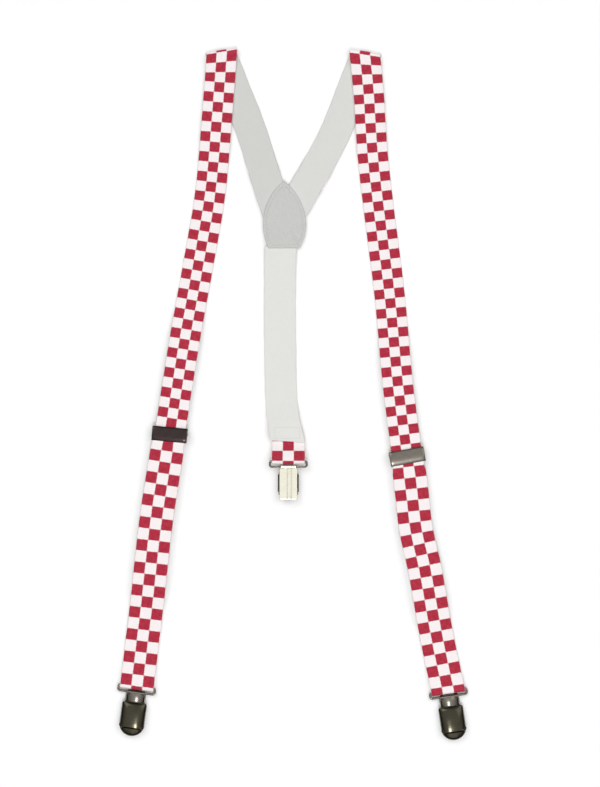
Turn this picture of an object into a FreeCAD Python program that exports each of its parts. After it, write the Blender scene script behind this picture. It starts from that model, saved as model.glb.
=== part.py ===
"""Y-back clip suspenders, laid flat: two checked elastic straps, a patch, a rear strap and three clips.

Millimetres. +Z is up from the surface the suspenders lie on, +Y runs from the clips to the shoulder
folds, +X is to the right. Z = 0 is that surface, and X = Y = 0 is the middle of the whole outline.
"""
import FreeCAD, Part
import math
import os

V = FreeCAD.Vector

# ---------------------------------------------------------------- driving dimensions
WEB = 1.2                 # thickness of the elastic webbing
SHOULDER_WIDTH = 24.0     # webbing above the slides and behind the shoulders
LOWER_WIDTH = 26.6        # relaxed webbing between slide and clip
REAR_WIDTH = 25.2
GAP = 0.3                 # air left between soft pieces that move against each other
OBLIQUE_LENGTH = 24.0     # how far an end that isn't square goes on turning the webbing

FOLD_INNER = 0.9          # inside radius of the fold at each shoulder
FOLD_MID = FOLD_INNER + WEB / 2
FOLD_Z = WEB + FOLD_INNER

STRAP_Z = 3.95            # underside of the front strap where the slide runs along it
LOWER_Z = 5.4             # underside of the visible lower leg beside the slide
SLIDE_DOWN = 45.0         # travel of the slide towards the clip
SLIDE_UP = 60.0           # travel of the slide towards the shoulder
SLIDE_LENGTH = 11.5
SLIDE_WIDTH = 27.8
SHEET = 1.0               # sheet metal of the slide
SLIDE_TOP = 7.85
BAR_Y = -3.4              # bar that the webbing's end is sewn round, from the slide's middle
BAR_HALF = 1.2
BAR_LOW = 1.45
BAR_HIGH = 2.35
BAR_AIR = 0.15            # between the bar and the webbing round it
FLAP_Y = 1.7              # pin of the locking flap, from the slide's middle
FLAP_Z = 1.85
FLAP_LENGTH = 8.8         # from the pin to the flap's free edge
FLAP_SHEET = 0.8
SLIDE_PIN = 0.6
KNUCKLE = 1.15
TEETH = 9

WIRE = 0.9                # radius of the bail's wire
BAIL_WIDTH = 29.0         # between the centres of the bail's two side wires
BAIL_HEIGHT = 4.3         # between the centres of its two long wires
BAIL_CORNER = 1.6
BAIL_Z = 2.25             # height of a front bail above the surface
REAR_BAIL_Z = 5.5

PATCH = 1.0               # leatherette of the Y patch
PATCH_HALF = 17.0
PATCH_MIDDLE = (-6.3, 136.7)
PATCH_TOP = 31.5          # from the widest line up to the point
PATCH_BOTTOM = 21.5       # from the widest line down to the straight edge
MITRE_AIR = 0.05          # from the patch's middle line to the cut end of each shoulder strap

# Centre line of each strap on the surface, and where its slide and clip are.
SIDES = {
    "left": {
        "fold": (-56.2, 269.3),
        "fold_turn": 9.5,
        "lean": -12.3,
        "rear": [(-56.2, 269.3), (-44.7, 238.7), (-33.4, 209.7), (-21.7, 172.7), (-11.3, 140.7)],
        "front": [(-56.2, 269.3), (-58.3, 234.7), (-60.9, 201.7), (-65.1, 157.7), (-70.9, 121.7),
                  (-80.3, 69.7)],
        "slide": (-96.8, -31.9),
        "slide_turn": -9.0,
        "lower": [(-113.4, -153.3), (-117.8, -189.3), (-122.2, -226.3)],
        "end": (-123.3, -235.3),
        "end_turn": -7.6,
    },
    "right": {
        "fold": (57.5, 268.3),
        "fold_turn": -9.0,
        "lean": 14.2,
        "rear": [(57.5, 268.3), (45.3, 235.2), (31.1, 200.7), (14.6, 170.7), (-1.3, 142.7)],
        "front": [(57.5, 268.3), (59.9, 239.7), (62.1, 203.7), (65.5, 167.7), (70.7, 125.7),
                  (78.1, 63.7)],
        "slide": (90.3, -49.3),
        "slide_turn": 7.0,
        "lower": [(102.5, -130.3), (109.0, -165.3), (115.4, -199.3), (121.7, -230.3)],
        "end": (123.3, -238.5),
        "end_turn": 8.4,
    },
}
REAR_ROUTE = [(-9.5, 116.2), (-10.0, 59.7), (-9.5, 19.7), (-7.6, -16.3), (-4.4, -37.3)]
REAR_BAIL = (-3.3, -57.3)     # the rear bail's lower wire
REAR_TAB_WIDTH = 26.0
TAB_TOP = -23.8           # sewn end of the tab, under the rear strap

# Middle of each layer's end: (distance down from the slide's middle, height) before the bar, and
# (Y, height) above and below the rear bail.
TAIL = [(19.0, 1.98), (14.0, 2.0), (9.0, 2.7)]
TAB_UPPER = [(TAB_TOP, WEB * 1.5 + 0.04), (-31.0, WEB * 1.5 + 0.04), (-39.0, WEB * 1.5 + 0.5),
             (-45.0, 4.6)]
TAB_LOWER = [(-43.0, 1.8), (-36.0, 0.7), (-30.0, WEB / 2), (TAB_TOP, WEB / 2)]
TAB_LEG = 3.0             # straight part of the tab beside the bail's wire
LOOP_LEG = 2.0            # straight part of a front loop beside its wire

FRONT_CLIP = {"base": 15.8, "shield": 19.6, "length": 34.5, "free_end": 7.5, "pin": 26.0,
              "corner": 6.5, "ridges": 3}
REAR_CLIP = {"base": 14.0, "shield": 16.6, "length": 26.2, "free_end": 5.2, "pin": 18.2,
             "corner": 1.2, "ridges": 2}
PLATE = 0.8               # sheet metal of the clips
BASE_LOW = -1.75          # underside of the clip's base, from the bail's wire
SHIELD_TOP = 5.45
PIN_Z = 3.25
PIN_RADIUS = 0.75
PIN_HEAD = 1.25
EAR = 1.2                 # radius of the base's ears round the pin
EAR_HALF = 1.1            # half width of an ear below its round top
BOSS = 1.9                # radius of the lever's bosses round the pin
LEAF_LOW = -0.6
FOOT_LOW = 0.9
JAW_PIVOT = (8.0, -0.2)   # down from the wire, and up from it
TRUNNION = 0.6
LOBE = 2.85               # reach of the lever's cam from the pin
LOBE_ANGLES = (-85, -50)  # the cam's ends, in degrees from the way the strap goes
TOE = 2.9                 # from the pin to the seam between lever and toe
PAD_START = 4.0           # from the pin to the grip pads
PAD_END = 2.2             # from the pads to the clip's end
PAD_INSET = 0.9           # from the jaw's sides to the pads
RUN = 0.05                # running clearance of a pin in its hole
WIRE_GAP = 0.12           # between the bail's wire and the webbing round it


# ---------------------------------------------------------------- general helpers
def rotated(vector, degrees):
    angle = math.radians(degrees)
    return V(vector.x * math.cos(angle) - vector.y * math.sin(angle),
             vector.x * math.sin(angle) + vector.y * math.cos(angle), vector.z)


def box(x0, x1, y0, y1, z0, z1):
    return Part.makeBox(x1 - x0, y1 - y0, z1 - z0, V(x0, y0, z0))


def rod(x0, x1, y, z, radius):
    """A cylinder along X."""
    return Part.makeCylinder(radius, x1 - x0, V(x0, y, z), V(1, 0, 0))


def placed(shape, origin, turn, flip=False):
    """Move a shape from its own frame: turned over if flip, turned about Z, then set at origin."""
    shape = shape.copy()
    if flip:
        shape.rotate(V(0, 0, 0), V(0, 1, 0), 180)
    shape.rotate(V(0, 0, 0), V(0, 0, 1), turn)
    shape.translate(V(*origin))
    return shape


def fused(shapes):
    whole = shapes[0].multiFuse(shapes[1:])
    return whole.removeSplitter()


def ribbon(stations):
    """A flat band through stations, each (middle point, across direction, width), with level ends."""
    points = [station[0] for station in stations]
    last = len(points) - 1
    wires = []
    for i, (point, across, width) in enumerate(stations):
        along = points[min(i + 1, last)] - points[max(i - 1, 0)]
        if i in (0, last):
            along.z = 0
        normal = along.cross(across).normalize() * (WEB / 2)
        side = V(across).normalize() * (width / 2)
        corners = [point - side - normal, point + side - normal, point + side + normal,
                   point - side + normal]
        wires.append(Part.makePolygon(corners + corners[:1]))
    return Part.makeLoft(wires, True, True)


def smooth_line(points):
    curve = Part.BSplineCurve()
    curve.interpolate([V(x, y, 0) for x, y in points])
    return curve


def stations_along(curve, count, height, width, first=0.0, last=1.0, turn_in=None, turn_out=None):
    """Stations on a curve: height(s) is the middle, width(s) the width, s the length run so far.

    turn_in gives the across direction at the start and turn_out at the end, where they aren't square.
    """
    length = curve.length()
    found = []
    for i in range(count):
        share = first + (last - first) * i / (count - 1)
        at = curve.parameterAtDistance(length * share, curve.FirstParameter)
        point = curve.value(at)
        along = V(curve.tangent(at)[0])
        square = V(0, 0, 1).cross(along).normalize()
        across = square
        for oblique, distance in ((turn_in, length * share), (turn_out, length * (1 - share))):
            if oblique is not None and distance < OBLIQUE_LENGTH:
                mix = 1 - distance / OBLIQUE_LENGTH
                across = (square * (1 - mix) + oblique * mix).normalize()
        true_width = width(length * share) / abs(across.dot(square))
        found.append((V(point.x, point.y, height(length * share)), across, true_width))
    return found


def eased(value, start, end, low, high):
    """Goes smoothly from low to high as value goes from start to end."""
    share = min(max((value - start) / (end - start), 0.0), 1.0)
    share = share * share * (3 - 2 * share)
    return low + (high - low) * share


# ---------------------------------------------------------------- straps
def side_frame(side):
    """The slide's centre, and unit vectors across and up along the strap there."""
    up = rotated(V(0, 1, 0), side["slide_turn"])
    across = rotated(V(1, 0, 0), side["slide_turn"])
    return V(*side["slide"], 0), across, up


def fold_across(side):
    return rotated(V(1, 0, 0), side["fold_turn"])


def shoulder_fold(side):
    """Half a turn of webbing about the fold line, from the rear strap below to the front one above."""
    across = fold_across(side)
    out = rotated(V(0, 1, 0), side["fold_turn"])
    width = SHOULDER_WIDTH / math.cos(math.radians(side["lean"]))
    creep = math.pi * FOLD_MID * math.tan(math.radians(side["lean"]))
    middle = V(*side["fold"], FOLD_Z)
    found = []
    steps = 10
    for i in range(steps + 1):
        angle = math.pi * (i / steps - 0.5)
        radial = out * math.cos(angle) + V(0, 0, 1) * math.sin(angle)
        along_fold = across * (creep * (0.5 - i / steps))
        found.append((middle + radial * FOLD_MID + along_fold, across, width))
    return ribbon(found)


def fold_offset(side, share):
    """Where the strap's middle leaves the fold: share is -0.5 below and 0.5 above."""
    creep = math.pi * FOLD_MID * math.tan(math.radians(side["lean"]))
    return fold_across(side) * (-creep * share)


def shifted_route(side, points, share):
    shift = fold_offset(side, share)
    first = (points[0][0] + shift.x, points[0][1] + shift.y)
    return [first] + points[1:]


def shoulder_strap(side):
    """From the shoulder fold down the back to the patch."""
    curve = smooth_line(shifted_route(side, side["rear"], -0.5))
    total = curve.length()

    def height(run):
        return eased(run, total - 55, total - 38, 0.0, PATCH) + WEB / 2

    strap = ribbon(stations_along(curve, 26, height, lambda run: SHOULDER_WIDTH,
                                  turn_in=fold_across(side)))
    # Both straps are mitred where they meet under the patch.
    meeting = PATCH_MIDDLE[0]
    extent = strap.BoundBox
    if side["slide"][0] < 0:
        beyond = box(meeting - MITRE_AIR, extent.XMax + 1, extent.YMin - 1, extent.YMax + 1, -1, 20)
    else:
        beyond = box(extent.XMin - 1, meeting + MITRE_AIR, extent.YMin - 1, extent.YMax + 1, -1, 20)
    return strap.cut(beyond)


def front_strap(side):
    """From the shoulder fold to the slide, and on under the lower leg as far as the slide can go down."""
    centre, across, up = side_frame(side)
    start = centre + up * (SLIDE_UP + 12)
    end = centre - up * (SLIDE_DOWN + 5)
    straight = [(start.x, start.y), (centre.x, centre.y), (end.x, end.y)]
    curve = smooth_line(shifted_route(side, side["front"], 0.5) + straight)
    total = curve.length()
    level_from = total - (SLIDE_DOWN + 5) - SLIDE_UP - 10

    def height(run):
        over_rear = eased(run, 2, 16, FOLD_Z + FOLD_INNER, WEB + GAP)
        on_floor = eased(run, 68, 96, over_rear, 0.0)
        return eased(run, level_from - 45, level_from, on_floor, STRAP_Z) + WEB / 2

    return ribbon(stations_along(curve, 56, height, lambda run: SHOULDER_WIDTH,
                                 turn_in=fold_across(side)))


def lower_route(side, down):
    """Centre line from below the slide's middle to the clip's loop."""
    centre, across, up = side_frame(side)
    points = [centre - up * down, centre - up * 35, centre - up * 60]
    end = V(*side["end"], 0) + rotated(V(0, 1, 0), side["end_turn"]) * (BAIL_HEIGHT + 2)
    return smooth_line([(p.x, p.y) for p in points] + side["lower"][:-1] + [(end.x, end.y)])


def lower_strap(side):
    """The checked leg that shows between the slide and the clip."""
    curve = lower_route(side, 0.5)
    total = curve.length()
    beyond_tail = SLIDE_UP + SLIDE_DOWN + 8

    def height(run):
        middle = eased(run, beyond_tail, beyond_tail + 35, LOWER_Z, WEB + 0.25)
        return eased(run, total - 25, total, middle, BAIL_Z + WIRE + WIRE_GAP) + WEB / 2

    def width(run):
        return eased(run, 6, 14, SHOULDER_WIDTH + 1, LOWER_WIDTH)

    out = rotated(V(1, 0, 0), side["end_turn"])
    return ribbon(stations_along(curve, 34, height, width, turn_out=out))


def return_strap(side):
    """The hidden leg: sewn round the slide's bar, then down the surface to the clip's loop."""
    centre, across, up = side_frame(side)
    low = BAR_LOW - BAR_AIR - WEB / 2
    high = BAR_HIGH + BAR_AIR + WEB / 2
    middle_z = (low + high) / 2
    radius = (high - low) / 2
    found = []
    for down, z in TAIL + [(5.5, high)]:
        found.append((centre - up * down + V(0, 0, z), across, SHOULDER_WIDTH))
    steps = 8
    for i in range(steps + 1):
        angle = math.pi * (0.5 - i / steps)
        down = -BAR_Y - BAR_HALF + 0.2 - math.cos(angle) * radius
        z = middle_z + math.sin(angle) * radius
        found.append((centre - up * down + V(0, 0, z), across, SHOULDER_WIDTH))
    curve = lower_route(side, 8)
    total = curve.length()

    def height(run):
        return eased(run, total - 20, total, low, BAIL_Z - WIRE - WIRE_GAP - WEB / 2)

    def width(run):
        return eased(run, 0, 14, SHOULDER_WIDTH, LOWER_WIDTH)

    out = rotated(V(1, 0, 0), side["end_turn"])
    return ribbon(found + stations_along(curve, 34, height, width, turn_out=out))


def loop_bend(width):
    """Webbing round a bail's upper wire. Its frame: the wire along X at the origin, the clip towards -Y."""
    radius = WIRE + WIRE_GAP + WEB / 2
    found = [(V(0, LOOP_LEG, radius), V(1, 0, 0), width)]
    steps = 10
    for i in range(steps + 1):
        angle = math.pi * (0.5 + i / steps)
        found.append((V(0, math.cos(angle) * radius, math.sin(angle) * radius), V(1, 0, 0), width))
    found.append((V(0, LOOP_LEG, -radius), V(1, 0, 0), width))
    return ribbon(found)


def rear_strap():
    curve = smooth_line(REAR_ROUTE)
    total = curve.length()

    def height(run):
        start = eased(run, 8, 24, PATCH, 0.0)
        return eased(run, total - 32, total - 12, start, 2 * WEB + 0.7) + WEB / 2

    return ribbon(stations_along(curve, 34, height, lambda run: REAR_WIDTH))


def rear_tab():
    """A short loop of webbing through the rear bail, sewn under the rear strap's end."""
    wire_y = REAR_BAIL[1] + BAIL_HEIGHT
    radius = WIRE + WIRE_GAP + WEB / 2
    x = REAR_BAIL[0]
    across = V(1, 0, 0)
    found = []
    for y, z in TAB_UPPER + [(wire_y + TAB_LEG, REAR_BAIL_Z + radius)]:
        found.append((V(x, y, z), across, REAR_TAB_WIDTH))
    steps = 10
    for i in range(steps + 1):
        angle = math.pi * (0.5 + i / steps)
        point = V(x, wire_y + math.cos(angle) * radius, REAR_BAIL_Z + math.sin(angle) * radius)
        found.append((point, across, REAR_TAB_WIDTH))
    for y, z in [(wire_y + TAB_LEG, REAR_BAIL_Z - radius)] + TAB_LOWER:
        found.append((V(x, y, z), across, REAR_TAB_WIDTH))
    return ribbon(found)


def patch_outline(inset):
    """Teardrop with a pointed-arch top and a straight bottom edge."""
    x, y = PATCH_MIDDLE
    half = PATCH_HALF - inset
    top = V(x - 0.3, y + PATCH_TOP - inset, 0)
    left = V(x - half, y, 0)
    right = V(x + half, y, 0)
    low_left = V(x - half * 0.76, y - PATCH_BOTTOM + inset, 0)
    low_right = V(x + half * 0.70, y - PATCH_BOTTOM + inset, 0)
    edges = [
        Part.Arc(top, V(x - half * 0.70, y + PATCH_TOP * 0.55, 0), left).toShape(),
        Part.Arc(left, V(x - half * 0.96, y - PATCH_BOTTOM * 0.55, 0), low_left).toShape(),
        Part.LineSegment(low_left, low_right).toShape(),
        Part.Arc(low_right, V(x + half * 0.95, y - PATCH_BOTTOM * 0.55, 0), right).toShape(),
        Part.Arc(right, V(x + half * 0.68, y + PATCH_TOP * 0.55, 0), top).toShape(),
    ]
    return Part.Face(Part.Wire(edges))


def patch(z):
    plate = patch_outline(0).extrude(V(0, 0, PATCH))
    plate.translate(V(0, 0, z))
    return plate


# ---------------------------------------------------------------- adjuster slide
def slide_frame():
    """Front plate, two cheeks and the bar that the webbing's end is sewn round. Origin on the surface."""
    half = SLIDE_WIDTH / 2
    end = SLIDE_LENGTH / 2
    plate = box(-half, half, -end, end, SLIDE_TOP - SHEET, SLIDE_TOP)
    rims = [edge for edge in plate.Edges if edge.BoundBox.ZMin > SLIDE_TOP - 0.01]
    plate = plate.makeFillet(0.5, rims)
    cheeks = []
    for x in (-half, half - SHEET):
        cheek = box(x, x + SHEET, -end + 0.6, end - 0.6, 0.3, SLIDE_TOP - SHEET / 2)
        corners = [edge for edge in cheek.Edges
                   if edge.BoundBox.ZMax < 0.31 and edge.BoundBox.XLength > 0.5]
        cheeks.append(cheek.makeFillet(1.4, corners))
    bar = box(-half + SHEET / 2, half - SHEET / 2, BAR_Y - BAR_HALF, BAR_Y + BAR_HALF, BAR_LOW, BAR_HIGH)
    frame = fused([plate] + cheeks + [bar])
    return frame.cut(rod(-half - 1, half + 1, FLAP_Y, FLAP_Z, SLIDE_PIN))


def slide_pin():
    half = SLIDE_WIDTH / 2
    pin = rod(-half, half, FLAP_Y, FLAP_Z, SLIDE_PIN)
    heads = [rod(-half - 0.4, -half, FLAP_Y, FLAP_Z, 1.0), rod(half, half + 0.4, FLAP_Y, FLAP_Z, 1.0)]
    return fused([pin] + heads)


def slide_flap():
    """Locking flap on the pin: a plate to pull, and a row of teeth that bites the strap from below."""
    half = SLIDE_WIDTH / 2 - SHEET - 0.4
    knuckle = rod(-half, half, FLAP_Y, FLAP_Z, KNUCKLE)
    free_edge = FLAP_Y + FLAP_LENGTH
    plate = box(-half, half, FLAP_Y, free_edge, FLAP_Z - KNUCKLE, FLAP_Z - KNUCKLE + FLAP_SHEET)
    corners = [edge for edge in plate.Edges
               if edge.BoundBox.YMin > free_edge - 0.1 and edge.BoundBox.ZLength > 0.5]
    plate = plate.makeFillet(2.5, corners)
    pieces = [knuckle, plate]
    pitch = (2 * half - 2) / TEETH
    for i in range(TEETH):
        x = -half + 1 + pitch * (i + 0.5)
        tooth = box(x - pitch * 0.3, x + pitch * 0.3, FLAP_Y - 0.4, FLAP_Y + 0.4,
                    FLAP_Z + 0.8, STRAP_Z - 0.25)
        pieces.append(tooth)
    return fused(pieces).cut(rod(-half - 1, half + 1, FLAP_Y, FLAP_Z, SLIDE_PIN + RUN))


# ---------------------------------------------------------------- clips
def bail():
    """A closed ring of wire. Its frame: the lower wire's middle at the origin, the strap towards +Y."""
    half = BAIL_WIDTH / 2
    corner = BAIL_CORNER
    h = BAIL_HEIGHT
    k = corner * (1 - math.sqrt(0.5))

    def arc(a, b, c):
        return Part.Arc(V(*a, 0), V(*b, 0), V(*c, 0)).toShape()

    def line(a, b):
        return Part.LineSegment(V(*a, 0), V(*b, 0)).toShape()

    path = Part.Wire([
        line((0, 0), (half - corner, 0)),
        arc((half - corner, 0), (half - k, k), (half, corner)),
        line((half, corner), (half, h - corner)),
        arc((half, h - corner), (half - k, h - k), (half - corner, h)),
        line((half - corner, h), (-half + corner, h)),
        arc((-half + corner, h), (-half + k, h - k), (-half, h - corner)),
        line((-half, h - corner), (-half, corner)),
        arc((-half, corner), (-half + k, k), (-half + corner, 0)),
        line((-half + corner, 0), (0, 0)),
    ])
    section = Part.Wire([Part.Circle(V(0, 0, 0), V(1, 0, 0), WIRE).toShape()])
    return path.makePipeShell([section], True, False)


def shield(spec, inset):
    """The rounded cover's outline, extruded and rounded at its top edge."""
    half = spec["shield"] / 2 - inset
    top = -spec["free_end"] - inset
    low = -spec["length"] + inset
    round_start = low + half * 0.92
    corner = 2.2 - inset * 0.6
    k = corner * (1 - math.sqrt(0.5))
    edges = [
        Part.LineSegment(V(-half + corner, top, 0), V(half - corner, top, 0)).toShape(),
        Part.Arc(V(half - corner, top, 0), V(half - k, top - k, 0), V(half, top - corner, 0)).toShape(),
        Part.LineSegment(V(half, top - corner, 0), V(half, round_start, 0)).toShape(),
        Part.Arc(V(half, round_start, 0), V(half * 0.72, low + half * 0.27, 0), V(0, low, 0)).toShape(),
        Part.Arc(V(0, low, 0), V(-half * 0.72, low + half * 0.27, 0), V(-half, round_start, 0)).toShape(),
        Part.LineSegment(V(-half, round_start, 0), V(-half, top - corner, 0)).toShape(),
        Part.Arc(V(-half, top - corner, 0), V(-half + k, top - k, 0), V(-half + corner, top, 0)).toShape(),
    ]
    z0 = FOOT_LOW - inset * 3
    body = Part.Face(Part.Wire(edges)).extrude(V(0, 0, SHIELD_TOP - inset - z0))
    body.translate(V(0, 0, z0))
    rims = [edge for edge in body.Edges if edge.BoundBox.ZMin > SHIELD_TOP - inset - 0.01]
    return body.makeFillet(1.9 - inset, rims)


def clip_base(spec):
    """Channel with a knuckle on the bail's wire at one end and ears for the pin near the other."""
    half = spec["base"] / 2
    pin_y = -spec["pin"]
    jaw_y = -JAW_PIVOT[0] * spec["pin"] / FRONT_CLIP["pin"]
    far = -spec["length"] + 0.4
    plate = box(-half, half, far, 0, BASE_LOW, BASE_LOW + PLATE)
    corners = [edge for edge in plate.Edges
               if edge.BoundBox.YMax < far + 0.1 and edge.BoundBox.ZLength > 0.5]
    plate = plate.makeFillet(spec["corner"], corners)
    knuckle = rod(-half + 1, half - 1, 0, 0, -BASE_LOW)
    pieces = [plate, knuckle]
    for x in (-half, half - PLATE):
        pieces.append(box(x, x + PLATE, pin_y + 2.6, -3.0, BASE_LOW, 1.5))
        pieces.append(box(x, x + PLATE, pin_y - EAR_HALF, pin_y + 2.6, BASE_LOW, 0.9))
        pieces.append(box(x, x + PLATE, pin_y - EAR_HALF, pin_y + EAR_HALF, BASE_LOW, PIN_Z))
        pieces.append(rod(x, x + PLATE, pin_y, PIN_Z, EAR))
    base = fused(pieces)
    base = base.cut(rod(-half, half, 0, 0, WIRE + 0.1))
    base = base.cut(rod(-half - 1, half + 1, jaw_y, JAW_PIVOT[1], TRUNNION + RUN))
    return base.cut(rod(-half - 1, half + 1, pin_y, PIN_Z, PIN_RADIUS))


def clip_pin(spec):
    half = spec["shield"] / 2
    pin_y = -spec["pin"]
    pin = rod(-half - 0.2, half + 0.2, pin_y, PIN_Z, PIN_RADIUS)
    heads = [rod(-half - 0.9, -half - 0.2, pin_y, PIN_Z, PIN_HEAD),
             rod(half + 0.2, half + 0.9, pin_y, PIN_Z, PIN_HEAD)]
    return fused([pin] + heads)


def clip_lever(spec):
    """Cover that flips up off the base: a shell with skirts, bosses on the pin and a cam lobe."""
    pin_y = -spec["pin"]
    half = spec["shield"] / 2
    shell = shield(spec, 0).cut(shield(spec, PLATE))
    reach = SHIELD_TOP - PIN_Z
    keep = box(-half - 1, half + 1, pin_y, 0, -5, 10)
    nose = rod(-half, half, pin_y, PIN_Z, reach)
    slope = math.radians(45)
    wedge = Part.Face(Part.makePolygon([
        V(-half - 1, pin_y + 0.01, PIN_Z), V(-half - 1, pin_y + 0.01, 10),
        V(-half - 1, pin_y - 5 * math.cos(slope), PIN_Z + 5 * math.sin(slope)),
        V(-half - 1, pin_y + 0.01, PIN_Z)])).extrude(V(2 * half + 2, 0, 0))
    nose_shell = nose.common(wedge).cut(rod(-half, half, pin_y, PIN_Z, reach - PLATE))
    pieces = [shell.common(keep), nose_shell.common(shield(spec, 0))]
    for x0, x1 in ((-half, -half + PLATE), (half - PLATE, half)):
        pieces.append(rod(x0, x1, pin_y, PIN_Z, BOSS))
    lobe_half = spec["base"] / 2 - PLATE - 1.6
    lobe = rod(-lobe_half, lobe_half, pin_y, PIN_Z, LOBE)
    far = 8.0
    tip = V(-lobe_half, pin_y, PIN_Z)
    rim = []
    for degrees in LOBE_ANGLES:
        angle = math.radians(degrees)
        rim.append(tip + V(0, math.cos(angle), math.sin(angle)) * far)
    sector = Part.Face(Part.makePolygon([tip] + rim + [tip])).extrude(V(2 * lobe_half, 0, 0))
    pieces.append(lobe.common(sector))
    pieces.append(rod(-lobe_half, lobe_half, pin_y, PIN_Z, 1.2))
    pieces.append(box(-lobe_half, lobe_half, pin_y + 0.3, pin_y + 1.8, PIN_Z - 1.2, SHIELD_TOP - PLATE / 2))
    lever = fused(pieces)
    room = spec["base"] / 2 + GAP
    lever = lever.cut(box(-room, room, pin_y + 3, 0, -5, 2.6))
    return lever.cut(rod(-half - 1, half + 1, pin_y, PIN_Z, PIN_RADIUS + RUN))


def clip_jaw(spec):
    """Inner leaf that turns in the base near the bail and carries the rounded toe at its other end."""
    half = spec["base"] / 2 - PLATE - GAP
    pin_y = -spec["pin"]
    jaw_y = -JAW_PIVOT[0] * spec["pin"] / FRONT_CLIP["pin"]
    toe_y = pin_y - TOE
    leaf = box(-half, half, toe_y - PLATE, jaw_y + 0.9, LEAF_LOW, LEAF_LOW + PLATE)
    riser = box(-half, half, toe_y - PLATE, toe_y, LEAF_LOW, FOOT_LOW + PLATE)
    trunnion = rod(-spec["base"] / 2, spec["base"] / 2, jaw_y, JAW_PIVOT[1], TRUNNION)
    toe_zone = box(-half * 4, half * 4, -2 * spec["length"], toe_y, FOOT_LOW, SHIELD_TOP)
    foot_zone = box(-half * 4, half * 4, -2 * spec["length"], toe_y, FOOT_LOW, FOOT_LOW + PLATE)
    foot = shield(spec, 0).common(foot_zone)
    toe = shield(spec, 0).cut(shield(spec, PLATE)).common(toe_zone)
    return fused([leaf, riser, trunnion, foot, toe])


def grip_pad(spec, low, high, tooth_up):
    """Plastic pad with a row of ridges, low to high in Z, ridges on top if tooth_up."""
    half = spec["base"] / 2 - PLATE - GAP - PAD_INSET
    y0 = -spec["length"] + PAD_END
    y1 = -spec["pin"] - PAD_START
    body_low = low if tooth_up else low + 0.3
    body_high = high - 0.3 if tooth_up else high
    pieces = [box(-half, half, y0, y1, body_low, body_high)]
    pitch = (y1 - y0) / spec["ridges"]
    for i in range(spec["ridges"]):
        y = y0 + pitch * (i + 0.5)
        shift = pitch * (0.15 if tooth_up else -0.15)
        z0, z1 = (high - 0.31, high) if tooth_up else (low, low + 0.31)
        pieces.append(box(-half, half, y + shift - 0.3, y + shift + 0.3, z0, z1))
    return fused(pieces)


def clip_pieces(spec):
    return {
        "clip_base": clip_base(spec),
        "clip_pin": clip_pin(spec),
        "clip_lever": clip_lever(spec),
        "clip_jaw": clip_jaw(spec),
        "clip_base_pad": grip_pad(spec, BASE_LOW + PLATE, -0.3, True),
        "clip_jaw_pad": grip_pad(spec, -0.1, FOOT_LOW, False),
    }


# ---------------------------------------------------------------- the whole
def build():
    nodes = {}
    for name, side in SIDES.items():
        nodes[name + "_shoulder_strap"] = shoulder_strap(side)
        nodes[name + "_shoulder_fold"] = shoulder_fold(side)
        nodes[name + "_front_strap"] = front_strap(side)
        nodes[name + "_lower_strap"] = lower_strap(side)
        nodes[name + "_return_strap"] = return_strap(side)
        end = V(*side["end"], BAIL_Z)
        wire = end + rotated(V(0, BAIL_HEIGHT, 0), side["end_turn"])
        nodes[name + "_clip_loop"] = placed(loop_bend(LOWER_WIDTH), wire, side["end_turn"])
        slide_at = (side["slide"][0], side["slide"][1], 0)
        for piece, shape in (("slide_frame", slide_frame()), ("slide_pin", slide_pin()),
                             ("slide_flap", slide_flap())):
            nodes[name + "_" + piece] = placed(shape, slide_at, side["slide_turn"])
        nodes[name + "_bail"] = placed(bail(), end, side["end_turn"])
        for piece, shape in clip_pieces(FRONT_CLIP).items():
            nodes[name + "_" + piece] = placed(shape, end, side["end_turn"])
    nodes["rear_strap"] = rear_strap()
    nodes["rear_tab"] = rear_tab()
    nodes["patch_outer"] = patch(0.0)
    nodes["patch_inner"] = patch(PATCH + WEB)
    rear_end = V(*REAR_BAIL, REAR_BAIL_Z)
    nodes["rear_bail"] = placed(bail(), rear_end, 0)
    for piece, shape in clip_pieces(REAR_CLIP).items():
        nodes["rear_" + piece] = placed(shape, rear_end, 0, flip=True)
    return nodes


NODES = build()
os.makedirs("parts", exist_ok=True)
for node, shape in NODES.items():
    solids = len(shape.Solids)
    if solids != 1 or not shape.isValid():
        print("CHECK", node, "solids", solids, "valid", shape.isValid())
    shape.exportStep("parts/" + node + ".step")
bounds = Part.makeCompound(list(NODES.values())).BoundBox
print("nodes", len(NODES), "box", [round(value, 2) for value in (
    bounds.XMin, bounds.XMax, bounds.YMin, bounds.YMax, bounds.ZMin, bounds.ZMax)])
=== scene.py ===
"""Y-back clip suspenders laid flat: checked elastic webbing, leatherette patch, slides and lever clips.

The scene is in metres. Dimensions and routes are in millimetres, times MM where they enter it.
"""
import bpy
import bmesh
import math
import numpy as np
from mathutils import Matrix, Vector


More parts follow.
